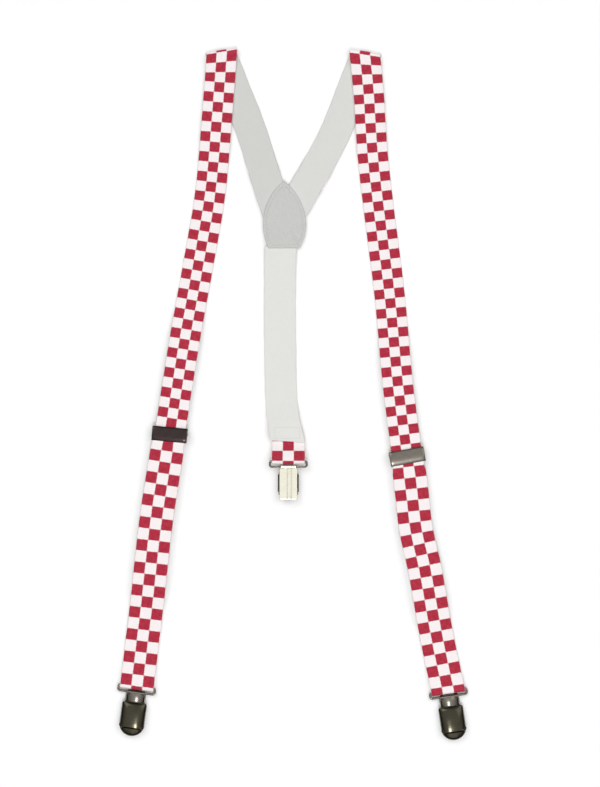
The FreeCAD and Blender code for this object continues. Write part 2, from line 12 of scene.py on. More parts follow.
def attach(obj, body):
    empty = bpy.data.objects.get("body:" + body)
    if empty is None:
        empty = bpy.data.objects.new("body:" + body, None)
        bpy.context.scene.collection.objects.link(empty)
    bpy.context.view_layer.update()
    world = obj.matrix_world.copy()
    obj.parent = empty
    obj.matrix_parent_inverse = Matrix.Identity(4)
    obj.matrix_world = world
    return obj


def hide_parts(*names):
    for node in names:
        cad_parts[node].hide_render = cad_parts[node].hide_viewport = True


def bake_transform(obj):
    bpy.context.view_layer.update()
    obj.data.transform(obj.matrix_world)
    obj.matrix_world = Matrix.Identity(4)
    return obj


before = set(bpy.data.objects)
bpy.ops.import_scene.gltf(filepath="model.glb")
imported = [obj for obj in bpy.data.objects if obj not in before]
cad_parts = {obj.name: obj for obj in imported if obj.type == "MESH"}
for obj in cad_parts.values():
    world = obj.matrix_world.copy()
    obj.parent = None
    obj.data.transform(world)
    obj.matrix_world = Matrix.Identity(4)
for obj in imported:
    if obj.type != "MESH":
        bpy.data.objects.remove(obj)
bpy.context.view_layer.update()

MM = 0.001

# ---------------------------------------------------------------- dimensions, in millimetres
WEB = 1.2                 # thickness of the webbing
SHOULDER_WIDTH = 24.0
LOWER_WIDTH = 26.6
REAR_WIDTH = 25.2
REAR_TAB_WIDTH = 26.0
FOLD_INNER = 0.9
FOLD_MID = FOLD_INNER + WEB / 2
FOLD_LENGTH = math.pi * FOLD_MID
FOLD_Z = WEB + FOLD_INNER
GAP = 0.3                 # air between webbing that lies over webbing
STRAP_Z = 3.95
LOWER_Z = 5.4
SLIDE_DOWN = 45.0
SLIDE_UP = 60.0
SLIDE_LENGTH = 11.5
SLIDE_WIDTH = 27.8
SLIDE_TOP = 7.85
SHEET = 1.0
WIRE = 0.9
WIRE_GAP = 0.12
BAIL_WIDTH = 29.0
BAIL_HEIGHT = 4.3
BAIL_CORNER = 1.6
BAIL_Z = 2.25
REAR_BAIL_Z = 5.5
BAR_Y = -3.4
BAR_HALF = 1.2
BAR_LOW = 1.45
BAR_HIGH = 2.35
FLAP_Y = 1.7
FLAP_Z = 1.85
FLAP_LENGTH = 8.8
FLAP_SHEET = 0.8
SLIDE_PIN = 0.6
KNUCKLE = 1.15
TEETH = 9
PATCH = 1.0
PATCH_HALF = 17.0
PATCH_MIDDLE = (-6.3, 136.7)
PATCH_TOP = 31.5
PATCH_BOTTOM = 21.5
PATCH_PROFILE = (         # inset and depth, as a share of the thickness, from the cut edge inwards
    (0.10, -0.98), (0.0, -0.85), (0.0, -0.45), (0.06, -0.22), (0.22, -0.06), (0.5, 0.0), (1.0, 0.02),
    (1.6, 0.0), (1.95, -0.10), (2.2, -0.26), (2.4, -0.30), (2.6, -0.26), (2.85, -0.10), (3.2, 0.0),
    (4.0, 0.05), (5.5, 0.06), (7.5, 0.05), (9.5, 0.04), (11.5, 0.02), (13.5, 0.0))
PATCH_SEAM = 2.4          # inset of the groove's middle, where the stitches lie
PATCH_SAG = 0.85          # how far the upper sheet sinks where no strap carries it

SIDES = {
    "left": {
        "fold": (-56.2, 269.3), "fold_turn": 9.5, "lean": -12.3,
        "rear": [(-56.2, 269.3), (-44.7, 238.7), (-33.4, 209.7), (-21.7, 172.7), (-11.3, 140.7)],
        "front": [(-56.2, 269.3), (-58.3, 234.7), (-60.9, 201.7), (-65.1, 157.7), (-70.9, 121.7),
                  (-80.3, 69.7)],
        "slide": (-96.8, -31.9), "slide_turn": -9.0, "slide_skew": 3.5,
        "lower": [(-113.4, -153.3), (-117.8, -189.3), (-122.2, -226.3)],
        "end": (-123.3, -235.3), "end_turn": -7.6,
        "fold_row": -0.2, "upper_pitch": 7.88, "first_row": 3.7, "first_parity": 1, "lower_pitch": 8.9,
        # The tone darkens this side's plain white webbing: painted shade, deeper on the left than on the
        # right.
        "phases": (0.4, 0.9, 1.7), "painted_shade_tone": 0.84,
    },
    "right": {
        "fold": (57.5, 268.3), "fold_turn": -9.0, "lean": 14.2,
        "rear": [(57.5, 268.3), (45.3, 235.2), (31.1, 200.7), (14.6, 170.7), (-1.3, 142.7)],
        "front": [(57.5, 268.3), (59.9, 239.7), (62.1, 203.7), (65.5, 167.7), (70.7, 125.7),
                  (78.1, 63.7)],
        "slide": (90.3, -49.3), "slide_turn": 7.0, "slide_skew": 3.5,
        "lower": [(102.5, -130.3), (109.0, -165.3), (115.4, -199.3), (121.7, -230.3)],
        "end": (123.3, -238.5), "end_turn": 8.4,
        "fold_row": 1.0, "upper_pitch": 7.72, "first_row": 7.5, "first_parity": 0, "lower_pitch": 8.8,
        # The tone darkens this side's plain white webbing: painted shade, lighter than on the left.
        "phases": (2.2, 3.1, 4.0), "painted_shade_tone": 0.92,
    },
}
REAR_ROUTE = [(-9.5, 116.2), (-10.0, 59.7), (-9.5, 19.7), (-7.6, -16.3), (-4.4, -37.3)]
REAR_BAIL = (-3.3, -57.3)
REAR_HEM = (-3.9, -37.3)  # middle of the rear strap's sewn end, and how wide the hem spreads
REAR_HEM_WIDTH = 26.8
TAB_TOP = -23.8
TAB_TOP_Z = WEB * 1.5 + 0.04
STITCH_BOX = (-35.0, -26.5)
OBLIQUE_LENGTH = 24.0     # over this length a strap's end turns from its hem's direction to square
STATION_STEP = 1.6        # spacing of the rows of points along the webbing
REAR_PITCH = 7.8          # length of one check on the rear webbing
TAB_PITCH = 8.2
FRONT_CLIP = {"base": 15.8, "shield": 19.6, "length": 34.5, "free_end": 7.5, "pin": 26.0,
              "corner": 6.5, "ridges": 3}
REAR_CLIP = {"base": 14.0, "shield": 16.6, "length": 26.2, "free_end": 5.2, "pin": 18.2,
             "corner": 1.2, "ridges": 2}
PLATE = 0.8
SHIELD_TOP = 5.45
FOOT_LOW = 0.9
PIN_Z = 3.25
PIN_RADIUS = 0.75
PIN_HEAD = 1.25
EAR = 0.95
EAR_INSET = 1.1
EAR_SHEET = 0.6
EAR_HALF = 1.1
BASE_LOW = -1.75
LOBE = 2.85
LOBE_ANGLES = (-85, -50)
TOE = 2.9
PAD_START = 4.0
PAD_END = 2.2
PAD_INSET = 0.9
LEAF_LOW = -0.6
JAW_PIVOT = (8.0, -0.2)
TRUNNION = 0.6
COVER_ROUND = 2.5         # how square the cover's section is: 2 is round, more is squarer
COVER_COLUMNS = 36
COVER_CORNER = 2.2        # radius of the cover's corners beside the ring
CROWN_POWER = 2.7         # how flat the cover is lengthwise: more is flatter
SEAM = 0.24               # gap between the lever's rolled nose and the toe
NOSE_POWER = 0.75         # 1 is a round nose, less is a tighter edge
NOSE_END = 56             # degrees from the crown to the nose's edge, clear of the base's ears when lifted
NOSE_LOW = PIN_Z - 0.7    # height of the nose's side corners
GROOVES = (-0.3, 0.16)    # pressed lines down the base, as shares of its half width from the middle
GROOVE_HALF = 0.34

FRAME_HEIGHT = 0.6217     # metres of floor that the picture shows from bottom to top
CAMERA_X = 0.0059
CAMERA_Y = 0.0004
LENS = 100.0
SENSOR_HEIGHT = 36.0
FLOOR_HALF = 9000
FLOOR_DROP = 0.0002       # metres the floor lies below the webbing, so that the two don't flicker
WORLD_STRENGTH = 1.1
WORLD_LEVELS = ((0.08, 0.04), (0.35, 0.08), (0.6, 0.48), (0.8, 0.76), (0.93, 1.0), (1.0, 1.0))
LIGHTS = (                # name, place, size and power
    ("key", (-0.9, 1.1, 1.6), 1.1, 8.0),
    ("fill", (1.1, 0.5, 1.5), 1.2, 5.4),
    ("front", (0.1, -1.4, 1.2), 0.9, 1.8),
    ("glint", (0.0, -0.75, 1.6), 0.2, 6.0),
)


# ---------------------------------------------------------------- materials
def new_material(name, color, roughness, metallic=0.0, **sockets):
    material = bpy.data.materials.new(name)
    material.use_nodes = True
    shader = material.node_tree.nodes["Principled BSDF"]
    shader.inputs["Base Color"].default_value = (*color, 1)
    shader.inputs["Roughness"].default_value = roughness
    shader.inputs["Metallic"].default_value = metallic
    for socket, value in sockets.items():
        shader.inputs[socket.replace("_", " ")].default_value = value
    return material


class Graph:
    """Short calls for adding nodes to one material."""

    def __init__(self, material):
        self.tree = material.node_tree
        self.shader = self.tree.nodes["Principled BSDF"]

    def node(self, kind, **settings):
        made = self.tree.nodes.new(kind)
        for key, value in settings.items():
            setattr(made, key, value)
        return made

    def link(self, source, target):
        if isinstance(source, (int, float)):
            target.default_value = source
        else:
            self.tree.links.new(source, target)

    def math(self, operation, a, b=0.0, c=0.0):
        made = self.node("ShaderNodeMath", operation=operation)
        for socket, value in zip(made.inputs, (a, b, c)):
            self.link(value, socket)
        return made.outputs[0]

    def step(self, value, low, high, to_low=0.0, to_high=1.0):
        made = self.node("ShaderNodeMapRange", interpolation_type="SMOOTHSTEP")
        for socket, item in zip(made.inputs, (value, low, high, to_low, to_high)):
            self.link(item, socket)
        return made.outputs[0]

    def mix(self, share, a, b, blend="MIX"):
        made = self.node("ShaderNodeMix", data_type="RGBA", blend_type=blend)
        self.link(share, made.inputs[0])
        for socket, value in ((made.inputs[6], a), (made.inputs[7], b)):
            if isinstance(value, tuple):
                socket.default_value = (*value, 1)
            else:
                self.link(value, socket)
        return made.outputs[2]

    def noise(self, vector, scale, detail=3.0, roughness=0.55):
        made = self.node("ShaderNodeTexNoise")
        made.inputs["Scale"].default_value = scale
        made.inputs["Detail"].default_value = detail
        made.inputs["Roughness"].default_value = roughness
        self.link(vector, made.inputs["Vector"])
        return made.outputs["Fac"]

    def color(self, color):
        self.link(color, self.shader.inputs["Base Color"])

    def bump(self, height, distance, strength=1.0):
        made = self.node("ShaderNodeBump")
        made.inputs["Strength"].default_value = strength
        made.inputs["Distance"].default_value = distance
        self.link(height, made.inputs["Height"])
        self.link(made.outputs[0], self.shader.inputs["Normal"])

    def object_place(self):
        return self.node("ShaderNodeTexCoord").outputs["Object"]

    def uv(self, name):
        made = self.node("ShaderNodeUVMap", uv_map=name)
        parts = self.node("ShaderNodeSeparateXYZ")
        self.link(made.outputs[0], parts.inputs[0])
        return made.outputs[0], parts.outputs[0], parts.outputs[1]


RED = (0.43, 0.008, 0.036)
RED_DARK = (0.31, 0.005, 0.024)
CHECK_WHITE = (0.97, 0.90, 0.91)
INNER_WHITE = (0.80, 0.805, 0.775)
WARP_MM = 0.8             # spacing of the cords along the webbing
WEFT_MM = 0.45            # spacing of the threads across it


def weave_height(graph, x, y):
    """Fine over-and-under threads of elastic webbing, 0 to 1, from the thread map in millimetres."""
    across = graph.math("ABSOLUTE", graph.math("SINE", graph.math("MULTIPLY", x, math.pi / WARP_MM)))
    column = graph.math("FLOOR", graph.math("DIVIDE", x, WARP_MM))
    offset = graph.math("MULTIPLY", column, 0.5 * math.pi)
    along = graph.math("MULTIPLY_ADD", y, math.pi / WEFT_MM, offset)
    along = graph.math("ABSOLUTE", graph.math("SINE", along))
    return graph.math("MULTIPLY_ADD", across, 0.55, graph.math("MULTIPLY", along, 0.45))


def check_material():
    """Red and white checks, three across, with threads, soft edges between checks and mottling."""
    material = new_material("check_webbing", CHECK_WHITE, 0.82, Sheen_Weight=0.12, Sheen_Roughness=0.5)
    graph = Graph(material)
    vector, x, y = graph.uv("thread")
    column, row = graph.uv("check")[1:]
    wobble = graph.noise(vector, 1.1, 2.0)
    ragged = graph.math("MULTIPLY_ADD", wobble, 0.10, -0.05)
    column = graph.math("ADD", column, ragged)
    row = graph.math("ADD", row, ragged)
    waves = graph.math("MULTIPLY", graph.math("SINE", graph.math("MULTIPLY", column, math.pi)),
                       graph.math("SINE", graph.math("MULTIPLY", row, math.pi)))
    red_share = graph.step(waves, -0.06, 0.06)
    height = weave_height(graph, x, y)
    mottle = graph.noise(vector, 0.35, 4.0)
    red = graph.mix(graph.step(height, 0.1, 0.9), RED_DARK, RED)
    red = graph.mix(graph.step(mottle, 0.35, 0.7, 0.0, 0.35), red, (0.62, 0.045, 0.085))
    white = graph.mix(graph.step(height, 0.0, 0.8), (0.82, 0.70, 0.72), CHECK_WHITE)
    white = graph.mix(graph.step(mottle, 0.4, 0.75, 0.0, 0.3), white, (0.86, 0.88, 0.83))
    color = graph.mix(red_share, white, red)
    graph.color(color)
    graph.bump(height, 0.00018, 0.7)
    return material


def inner_material(name, tone):
    """Plain wrong side of the webbing: off-white, ribbed lengthwise by the elastic. A tone below 1 darkens
    the whole colour, which is painted shade on a side's upper straps.
    """
    white = tuple(level * tone for level in INNER_WHITE)
    valley = tuple(level * 0.85 for level in white)
    cloud = tuple(level * 0.93 for level in white)
    material = new_material(name, white, 0.85, Sheen_Weight=0.12, Sheen_Roughness=0.5)
    graph = Graph(material)
    vector, x, y = graph.uv("thread")
    height = weave_height(graph, x, y)
    mottle = graph.noise(vector, 0.3, 4.0)
    color = graph.mix(graph.step(height, 0.05, 0.75), valley, white)
    color = graph.mix(graph.step(mottle, 0.35, 0.75, 0.0, 0.4), color, cloud)
    graph.color(color)
    graph.bump(height, 0.0002, 0.8)
    return material


def leather_material():
    material = new_material("leatherette", (0.60, 0.605, 0.585), 0.5)
    graph = Graph(material)
    place = graph.object_place()
    cells = graph.node("ShaderNodeTexVoronoi", feature="DISTANCE_TO_EDGE")
    cells.inputs["Scale"].default_value = 1100.0
    graph.link(place, cells.inputs["Vector"])
    grain = graph.step(cells.outputs["Distance"], 0.0, 0.22)
    fine = graph.noise(place, 2600.0, 3.0)
    height = graph.math("MULTIPLY_ADD", fine, 0.3, grain)
    mottle = graph.noise(place, 90.0, 4.0)
    color = graph.mix(grain, (0.50, 0.505, 0.485), (0.60, 0.605, 0.585))
    color = graph.mix(graph.step(mottle, 0.35, 0.7, 0.0, 0.3), color, (0.55, 0.555, 0.53))
    graph.color(color)
    graph.link(graph.step(grain, 0.0, 1.0, 0.62, 0.44), graph.shader.inputs["Roughness"])
    graph.bump(height, 0.00014, 0.55)
    return material


def metal_material(name, color, worn, roughness):
    """Plated steel: fine polishing marks, soft waves in the plating and slightly worn tone."""
    material = new_material(name, color, roughness, 1.0)
    graph = Graph(material)
    place = graph.object_place()
    stretched = graph.node("ShaderNodeMapping")
    stretched.inputs["Scale"].default_value = (1.0, 0.12, 1.0)
    graph.link(place, stretched.inputs["Vector"])
    marks = graph.noise(stretched.outputs[0], 5200.0, 3.0)
    cloud = graph.noise(place, 260.0, 3.0)
    blend = graph.step(cloud, 0.38, 0.72, 0.0, 0.35)
    graph.color(graph.mix(blend, color, worn))
    rough = graph.math("MULTIPLY_ADD", marks, 0.16, roughness - 0.06)
    graph.link(rough, graph.shader.inputs["Roughness"])
    height = graph.math("MULTIPLY_ADD", marks, 0.12, graph.noise(place, 330.0, 1.0))
    graph.bump(height, 0.00003, 0.5)
    return material


def grip_material():
    material = new_material("grip", (0.80, 0.80, 0.77), 0.42)
    graph = Graph(material)
    place = graph.object_place()
    height = graph.noise(place, 1500.0, 3.0)
    cloud = graph.step(graph.noise(place, 200.0), 0.3, 0.7)
    color = graph.mix(cloud, (0.74, 0.74, 0.71), (0.82, 0.82, 0.79))
    graph.color(color)
    graph.bump(height, 0.00005, 0.4)
    return material


def thread_material():
    material = new_material("thread", (0.70, 0.70, 0.68), 0.7, Sheen_Weight=0.3)
    graph = Graph(material)
    place = graph.object_place()
    waves = graph.node("ShaderNodeTexWave", wave_type="BANDS", bands_direction="DIAGONAL")
    waves.inputs["Scale"].default_value = 1400.0
    graph.link(place, waves.inputs["Vector"])
    graph.color(graph.mix(waves.outputs["Fac"], (0.58, 0.58, 0.56), (0.74, 0.74, 0.72)))
    graph.bump(waves.outputs["Fac"], 0.00008, 0.6)
    return material


CHECKS = check_material()
INNER = inner_material("white_webbing", 1.0)
# Darker copies of the white webbing for each side's shoulder, fold and front straps: painted shade.
SHADED_SIDE_INNER = {name: inner_material("white_webbing_painted_shade_" + name, side["painted_shade_tone"])
              for name, side in SIDES.items()}
LEATHER = leather_material()
DARK_NICKEL = metal_material("dark_nickel", (0.056, 0.051, 0.036), (0.032, 0.029, 0.021), 0.15)
BLACK_NICKEL = metal_material("black_nickel", (0.050, 0.036, 0.035), (0.026, 0.018, 0.018), 0.12)
STEEL = metal_material("steel", (0.175, 0.158, 0.135), (0.115, 0.104, 0.088), 0.22)
NICKEL = metal_material("nickel", (0.70, 0.68, 0.58), (0.60, 0.58, 0.48), 0.24)
GRIP = grip_material()
THREAD = thread_material()


# ---------------------------------------------------------------- routes
def turned(vector, degrees):
    angle = math.radians(degrees)
    return Vector((vector.x * math.cos(angle) - vector.y * math.sin(angle),
                   vector.x * math.sin(angle) + vector.y * math.cos(angle), vector.z))


def x_way(degrees):
    return turned(Vector((1, 0, 0)), degrees)


def y_way(degrees, length=1):
    return turned(Vector((0, length, 0)), degrees)


def eased(value, start, end, low, high):
    share = min(max((value - start) / (end - start), 0.0), 1.0)
    share = share * share * (3 - 2 * share)
    return low + (high - low) * share


class Route:
    """A natural cubic spline through points in the plane, read by the length run along it."""

    def __init__(self, points):
        knots = np.array(points, float)
        chord = np.concatenate([[0], np.cumsum(np.linalg.norm(np.diff(knots, axis=0), axis=1))])
        count = len(knots)
        system = np.eye(count)
        right = np.zeros((count, 2))
        for i in range(1, count - 1):
            before = chord[i] - chord[i - 1]
            after = chord[i + 1] - chord[i]
            system[i, i - 1:i + 2] = before, 2 * (before + after), after
            right[i] = 6 * ((knots[i + 1] - knots[i]) / after - (knots[i] - knots[i - 1]) / before)
        bends = np.linalg.solve(system, right)
        fine = np.linspace(0, chord[-1], 1200)
        piece = np.clip(np.searchsorted(chord, fine, side="right") - 1, 0, count - 2)
        gap = (chord[piece + 1] - chord[piece])[:, None]
        b = (fine - chord[piece])[:, None] / gap
        a = 1 - b
        curve = a * knots[piece] + b * knots[piece + 1]
        curve += ((a ** 3 - a) * bends[piece] + (b ** 3 - b) * bends[piece + 1]) * gap ** 2 / 6
        self.points = curve
        self.runs = np.concatenate([[0], np.cumsum(np.linalg.norm(np.diff(curve, axis=0), axis=1))])
        self.length = self.runs[-1]

    def at(self, run):
        x = np.interp(run, self.runs, self.points[:, 0])
        y = np.interp(run, self.runs, self.points[:, 1])
        return Vector((x, y, 0))

    def gaps(self, point):
        """Distance from point to each fine point of the route."""
        return np.hypot(self.points[:, 0] - point.x, self.points[:, 1] - point.y)

    def along(self, run):
        near = 0.5
        return (self.at(min(run + near, self.length)) - self.at(max(run - near, 0))).normalized()


def stations(route, spacing, height, width, turn_in=None, turn_out=None):
    """Stations (middle, across, width, run) down a route, as the CAD webbing has them."""
    count = max(int(route.length / spacing), 4)
    found = []
    for i in range(count + 1):
        run = route.length * i / count
        square = Vector((0, 0, 1)).cross(route.along(run)).normalized()
        across = square
        for oblique, distance in ((turn_in, run), (turn_out, route.length - run)):
            if oblique is not None and distance < OBLIQUE_LENGTH:
                mix = 1 - distance / OBLIQUE_LENGTH
                across = (square * (1 - mix) + oblique * mix).normalized()
        true_width = width(run) / abs(across.dot(square))
        point = route.at(run)
        point.z = height(run)
        found.append((point, across, true_width, run))
    return found


# ---------------------------------------------------------------- meshes
def mesh_piece(name, vertices, faces, scale=MM):
    mesh = bpy.data.meshes.new(name)
    mesh.from_pydata([tuple(Vector(v) * scale) for v in vertices], [], faces)
    mesh.validate()
    piece = bpy.data.objects.new(name, mesh)
    bpy.context.scene.collection.objects.link(piece)
    return piece


def smooth(piece, angle=None):
    for polygon in piece.data.polygons:
        polygon.use_smooth = True
    if angle is not None:
        piece.data.set_sharp_from_angle(angle=math.radians(angle))


def weighted_normals(mesh, angle):
    """Let large faces keep their own direction, so that rounded edges don't shade across flat sheet."""
    limit = math.cos(math.radians(angle))
    around = [[] for vertex in mesh.vertices]
    for polygon in mesh.polygons:
        for vertex in polygon.vertices:
            around[vertex].append(polygon)
    normals = []
    for polygon in mesh.polygons:
        for loop in polygon.loop_indices:
            total = Vector((0, 0, 0))
            for near in around[mesh.loops[loop].vertex_index]:
                if near.normal.dot(polygon.normal) > limit:
                    total += near.normal * near.area
            normals.append(total.normalized() if total.length > 0 else polygon.normal.copy())
    mesh.normals_split_custom_set(normals)


def outward(piece):
    """Turn all faces of a closed mesh to face out."""
    made = bmesh.new()
    made.from_mesh(piece.data)
    bmesh.ops.recalc_face_normals(made, faces=made.faces)
    made.to_mesh(piece.data)
    made.free()


def section_points():
    """Webbing's cross-section, once round: (share of half width, share of half thickness)."""
    flat = [-0.97, -0.88, -0.72, -0.5, -0.25, 0.0, 0.25, 0.5, 0.72, 0.88, 0.97]
    upper = [(a, 1.0 - 0.10 * abs(a) ** 4) for a in flat]
    lower = [(a, -b) for a, b in reversed(upper)]
    return upper + [(0.992, 0.62), (1.0, 0.0), (0.992, -0.62)] + lower + [
        (-0.992, -0.62), (-1.0, 0.0), (-0.992, 0.62)]


SECTION = section_points()


def ripple(run, phase):
    """Small unevenness of soft webbing, the same each time."""
    return 0.5 * math.sin(run / 9.7 + phase) + 0.3 * math.sin(run / 4.3 + 2.1 * phase) + 0.2 * math.sin(
        run / 23.0 + 0.7 * phase)


def webbing(name, rows, outer_up, pitch, first_row, parity=0, phase=0.0, calm_ends=6.0, wave=0.12,
            inner=None):
    """Elastic webbing with checks on its outer face and the plain weave on its inner one.

    rows are (middle, across, width, run); outer_up says if checks are on the side that along x across
    points to. The maps hold threads in millimetres and checks in whole units.
    """
    middles = [row[0] for row in rows]
    last = len(rows) - 1
    total = rows[-1][3]
    vertices = []
    for i, (middle, across, width, run) in enumerate(rows):
        along = middles[min(i + 1, last)] - middles[max(i - 1, 0)]
        if i in (0, last):
            along = Vector((along.x, along.y, 0))
        normal = along.cross(across).normalized()
        side = across.normalized()
        calm = min(run, total - run, calm_ends) / calm_ends
        for a, b in SECTION:
            lift = wave * calm * ripple(run, phase + 1.3 * a) * (0.35 + 0.65 * abs(a))
            edge = a * (width / 2 + 0.10 * calm * ripple(run * 2.3, phase + (2 if a > 0 else 5)))
            vertices.append(middle + side * edge + normal * (b * WEB / 2 + max(lift, -0.1 * WEB)))
    ring = len(SECTION)
    faces = []
    for i in range(last):
        for j in range(ring):
            k = (j + 1) % ring
            faces.append((i * ring + j, i * ring + k, (i + 1) * ring + k, (i + 1) * ring + j))
    faces.append(tuple(range(ring)))
    faces.append(tuple(last * ring + j for j in reversed(range(ring))))
    piece = mesh_piece(name, vertices, faces)
    piece.data.materials.append(CHECKS)
    piece.data.materials.append(inner or INNER)
    thread = piece.data.uv_layers.new(name="thread")
    check = piece.data.uv_layers.new(name="check")
    for polygon in piece.data.polygons:
        b = sum(SECTION[v % ring][1] for v in polygon.vertices) / len(polygon.vertices)
        if len(polygon.vertices) > 4:
            b = 0.1 if outer_up else -0.1
        on_outer = (b > -0.5) if outer_up else (b < -0.75)
        polygon.material_index = 0 if on_outer else 1
        for loop in polygon.loop_indices:
            vertex = piece.data.loops[loop].vertex_index
            a = SECTION[vertex % ring][0]
            middle, across, width, run = rows[vertex // ring]
            thread.data[loop].uv = (a * width / 2 + 20, run + 3)
            check.data[loop].uv = ((a + 1) * 1.5, (run - first_row) / pitch + parity + 100)
    outward(piece)
    smooth(piece, 50)
    return piece


def laid(node, length):
    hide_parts(node)


def fold_creep(side):
    """How far the webbing moves along the fold between entering and leaving it."""
    return FOLD_LENGTH * math.tan(math.radians(side["lean"]))


def shifted(side, points, share):
    """A route with its first point moved along the fold, since the webbing crosses it at a slant."""
    first = Vector((*points[0], 0)) - x_way(side["fold_turn"]) * (fold_creep(side) * share)
    return [(first.x, first.y)] + points[1:]


def make_shoulder_strap(name, side):
    route = Route(shifted(side, side["rear"], -0.5))
    total = route.length
    rows = stations(route, STATION_STEP, lambda run: eased(run, total - 55, total - 38, 0, PATCH) + WEB / 2,
                    lambda run: SHOULDER_WIDTH, turn_in=x_way(side["fold_turn"]))
    piece = webbing(name + "_shoulder_webbing", rows, False, side["upper_pitch"],
                    -side["fold_row"] - FOLD_LENGTH, 1, side["phases"][0], wave=0.08,
                    inner=SHADED_SIDE_INNER[name])
    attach(piece, "back")
    laid(name + "_shoulder_strap", total)


def make_fold(name, side):
    across = x_way(side["fold_turn"])
    out = y_way(side["fold_turn"])
    middle = Vector((*side["fold"], FOLD_Z))
    width = SHOULDER_WIDTH / math.cos(math.radians(side["lean"]))
    rows = []
    steps = 28
    for i in range(steps + 1):
        angle = math.pi * (i / steps - 0.5)
        radial = out * math.cos(angle) + Vector((0, 0, 1)) * math.sin(angle)
        point = middle + radial * FOLD_MID + across * (fold_creep(side) * (0.5 - i / steps))
        rows.append((point, across, width, FOLD_LENGTH * i / steps))
    piece = webbing(name + "_fold_webbing", rows, True, side["upper_pitch"],
                    FOLD_LENGTH + side["fold_row"], wave=0.0,
                    inner=SHADED_SIDE_INNER[name])
    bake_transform(piece)
    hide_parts(name + "_shoulder_fold")
    return piece


def below_slide(side, down):
    """A point on the floor under the strap, this far down it from the slide's middle."""
    return Vector((*side["slide"], 0)) - y_way(side["slide_turn"]) * down


def make_front_strap(name, side):
    straight = [tuple(below_slide(side, down))[:2] for down in (-SLIDE_UP - 12, 0, SLIDE_DOWN + 5)]
    route = Route(shifted(side, side["front"], 0.5) + straight)
    total = route.length
    level_from = total - (SLIDE_DOWN + 5) - SLIDE_UP - 10

    def height(run):
        over_rear = eased(run, 2, 16, FOLD_Z + FOLD_INNER, WEB + GAP)
        on_floor = eased(run, 68, 96, over_rear, 0.0)
        return eased(run, level_from - 45, level_from, on_floor, STRAP_Z) + WEB / 2

    rows = stations(route, STATION_STEP, height, lambda run: SHOULDER_WIDTH,
                    turn_in=x_way(side["fold_turn"]))
    piece = webbing(name + "_front_webbing", rows, True, side["upper_pitch"], side["fold_row"], 0,
                    side["phases"][1], wave=0.08, inner=SHADED_SIDE_INNER[name])
    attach(piece, name + "_front")
    laid(name + "_front_strap", total)


def strap_end(side):
    """Where the lower webbing meets its loop round the ring."""
    return Vector((*side["end"], 0)) + y_way(side["end_turn"], BAIL_HEIGHT + 2)


def lower_route(side, down):
    """The doubled webbing's line from a point below the slide's middle to the clip's loop."""
    points = [tuple(below_slide(side, far))[:2] for far in (down, 35, 60)]
    return Route(points + side["lower"][:-1] + [tuple(strap_end(side))[:2]])


def stretch_points(side):
    """Where the doubled webbing starts to stretch, below the slide, and where it ends, above the clip."""
    return below_slide(side, 22) * MM, strap_end(side) * MM


def make_lower_strap(name, side, loop):
    route = lower_route(side, 0.5)
    total = route.length
    beyond_tail = SLIDE_UP + SLIDE_DOWN + 8

    def height(run):
        middle = eased(run, beyond_tail, beyond_tail + 35, LOWER_Z, WEB + 0.25)
        return eased(run, total - 25, total, middle, BAIL_Z + WIRE + WIRE_GAP) + WEB / 2

    rows = stations(route, STATION_STEP, height,
                    lambda run: eased(run, 6, 14, SHOULDER_WIDTH + 1, LOWER_WIDTH),
                    turn_out=x_way(side["end_turn"]))
    piece = webbing(name + "_lower_webbing", rows, True, side["lower_pitch"], side["first_row"],
                    side["first_parity"], side["phases"][2])
    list(stretch_points(side))
    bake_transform(piece)
    laid(name + "_lower_strap", total)


def make_return_strap(name, side):
    across = x_way(side["slide_turn"])
    low = BAR_LOW - 0.15 - WEB / 2
    high = BAR_HIGH + 0.15 + WEB / 2
    radius = (high - low) / 2
    places = [(19.0, 1.98), (14.0, 2.0), (9.0, 2.7), (5.5, high)]
    places += half_turn(-BAR_Y - BAR_HALF + 0.2, (low + high) / 2, radius, 16)
    rows = [(below_slide(side, down) + Vector((0, 0, z)), across, SHOULDER_WIDTH, run)
            for down, z, run in measured(places)]
    run = rows[-1][3]
    route = lower_route(side, 8)
    total = route.length
    leg = stations(route, 1.8,
                   lambda s: eased(s, total - 20, total, low, BAIL_Z - WIRE - WIRE_GAP - WEB / 2),
                   lambda s: eased(s, 0, 14, SHOULDER_WIDTH, LOWER_WIDTH),
                   turn_out=x_way(side["end_turn"]))
    bridge = (leg[0][0] - rows[-1][0]).length
    rows += [(point, side_way, width, run + bridge + s) for point, side_way, width, s in leg]
    piece = webbing(name + "_return_webbing", rows, False, side["lower_pitch"], 2.0, 0, 2.9, wave=0.05)
    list(stretch_points(side))
    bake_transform(piece)
    laid(name + "_return_strap", rows[-1][3])


def half_turn(along, up, radius, steps=26):
    """Points half round (along, up), from above it, over its near side, to below it."""
    angles = [math.pi * (0.5 + i / steps) for i in range(steps + 1)]
    return [(along + math.cos(angle) * radius, up + math.sin(angle) * radius) for angle in angles]


def measured(places):
    """Each place with the length run so far."""
    run = 0.0
    found = []
    for i, place in enumerate(places):
        if i:
            run += math.dist(places[i - 1], place)
        found.append((*place, run))
    return found


def loop_rows(origin, turn, radius, width, reach):
    """Webbing round a wire at origin, with straight legs of the length reach."""
    places = [(reach, radius)] + half_turn(0, 0, radius) + [(reach, -radius)]
    return [(origin + y_way(turn) * along + Vector((0, 0, z)), x_way(turn), width, run)
            for along, z, run in measured(places)]


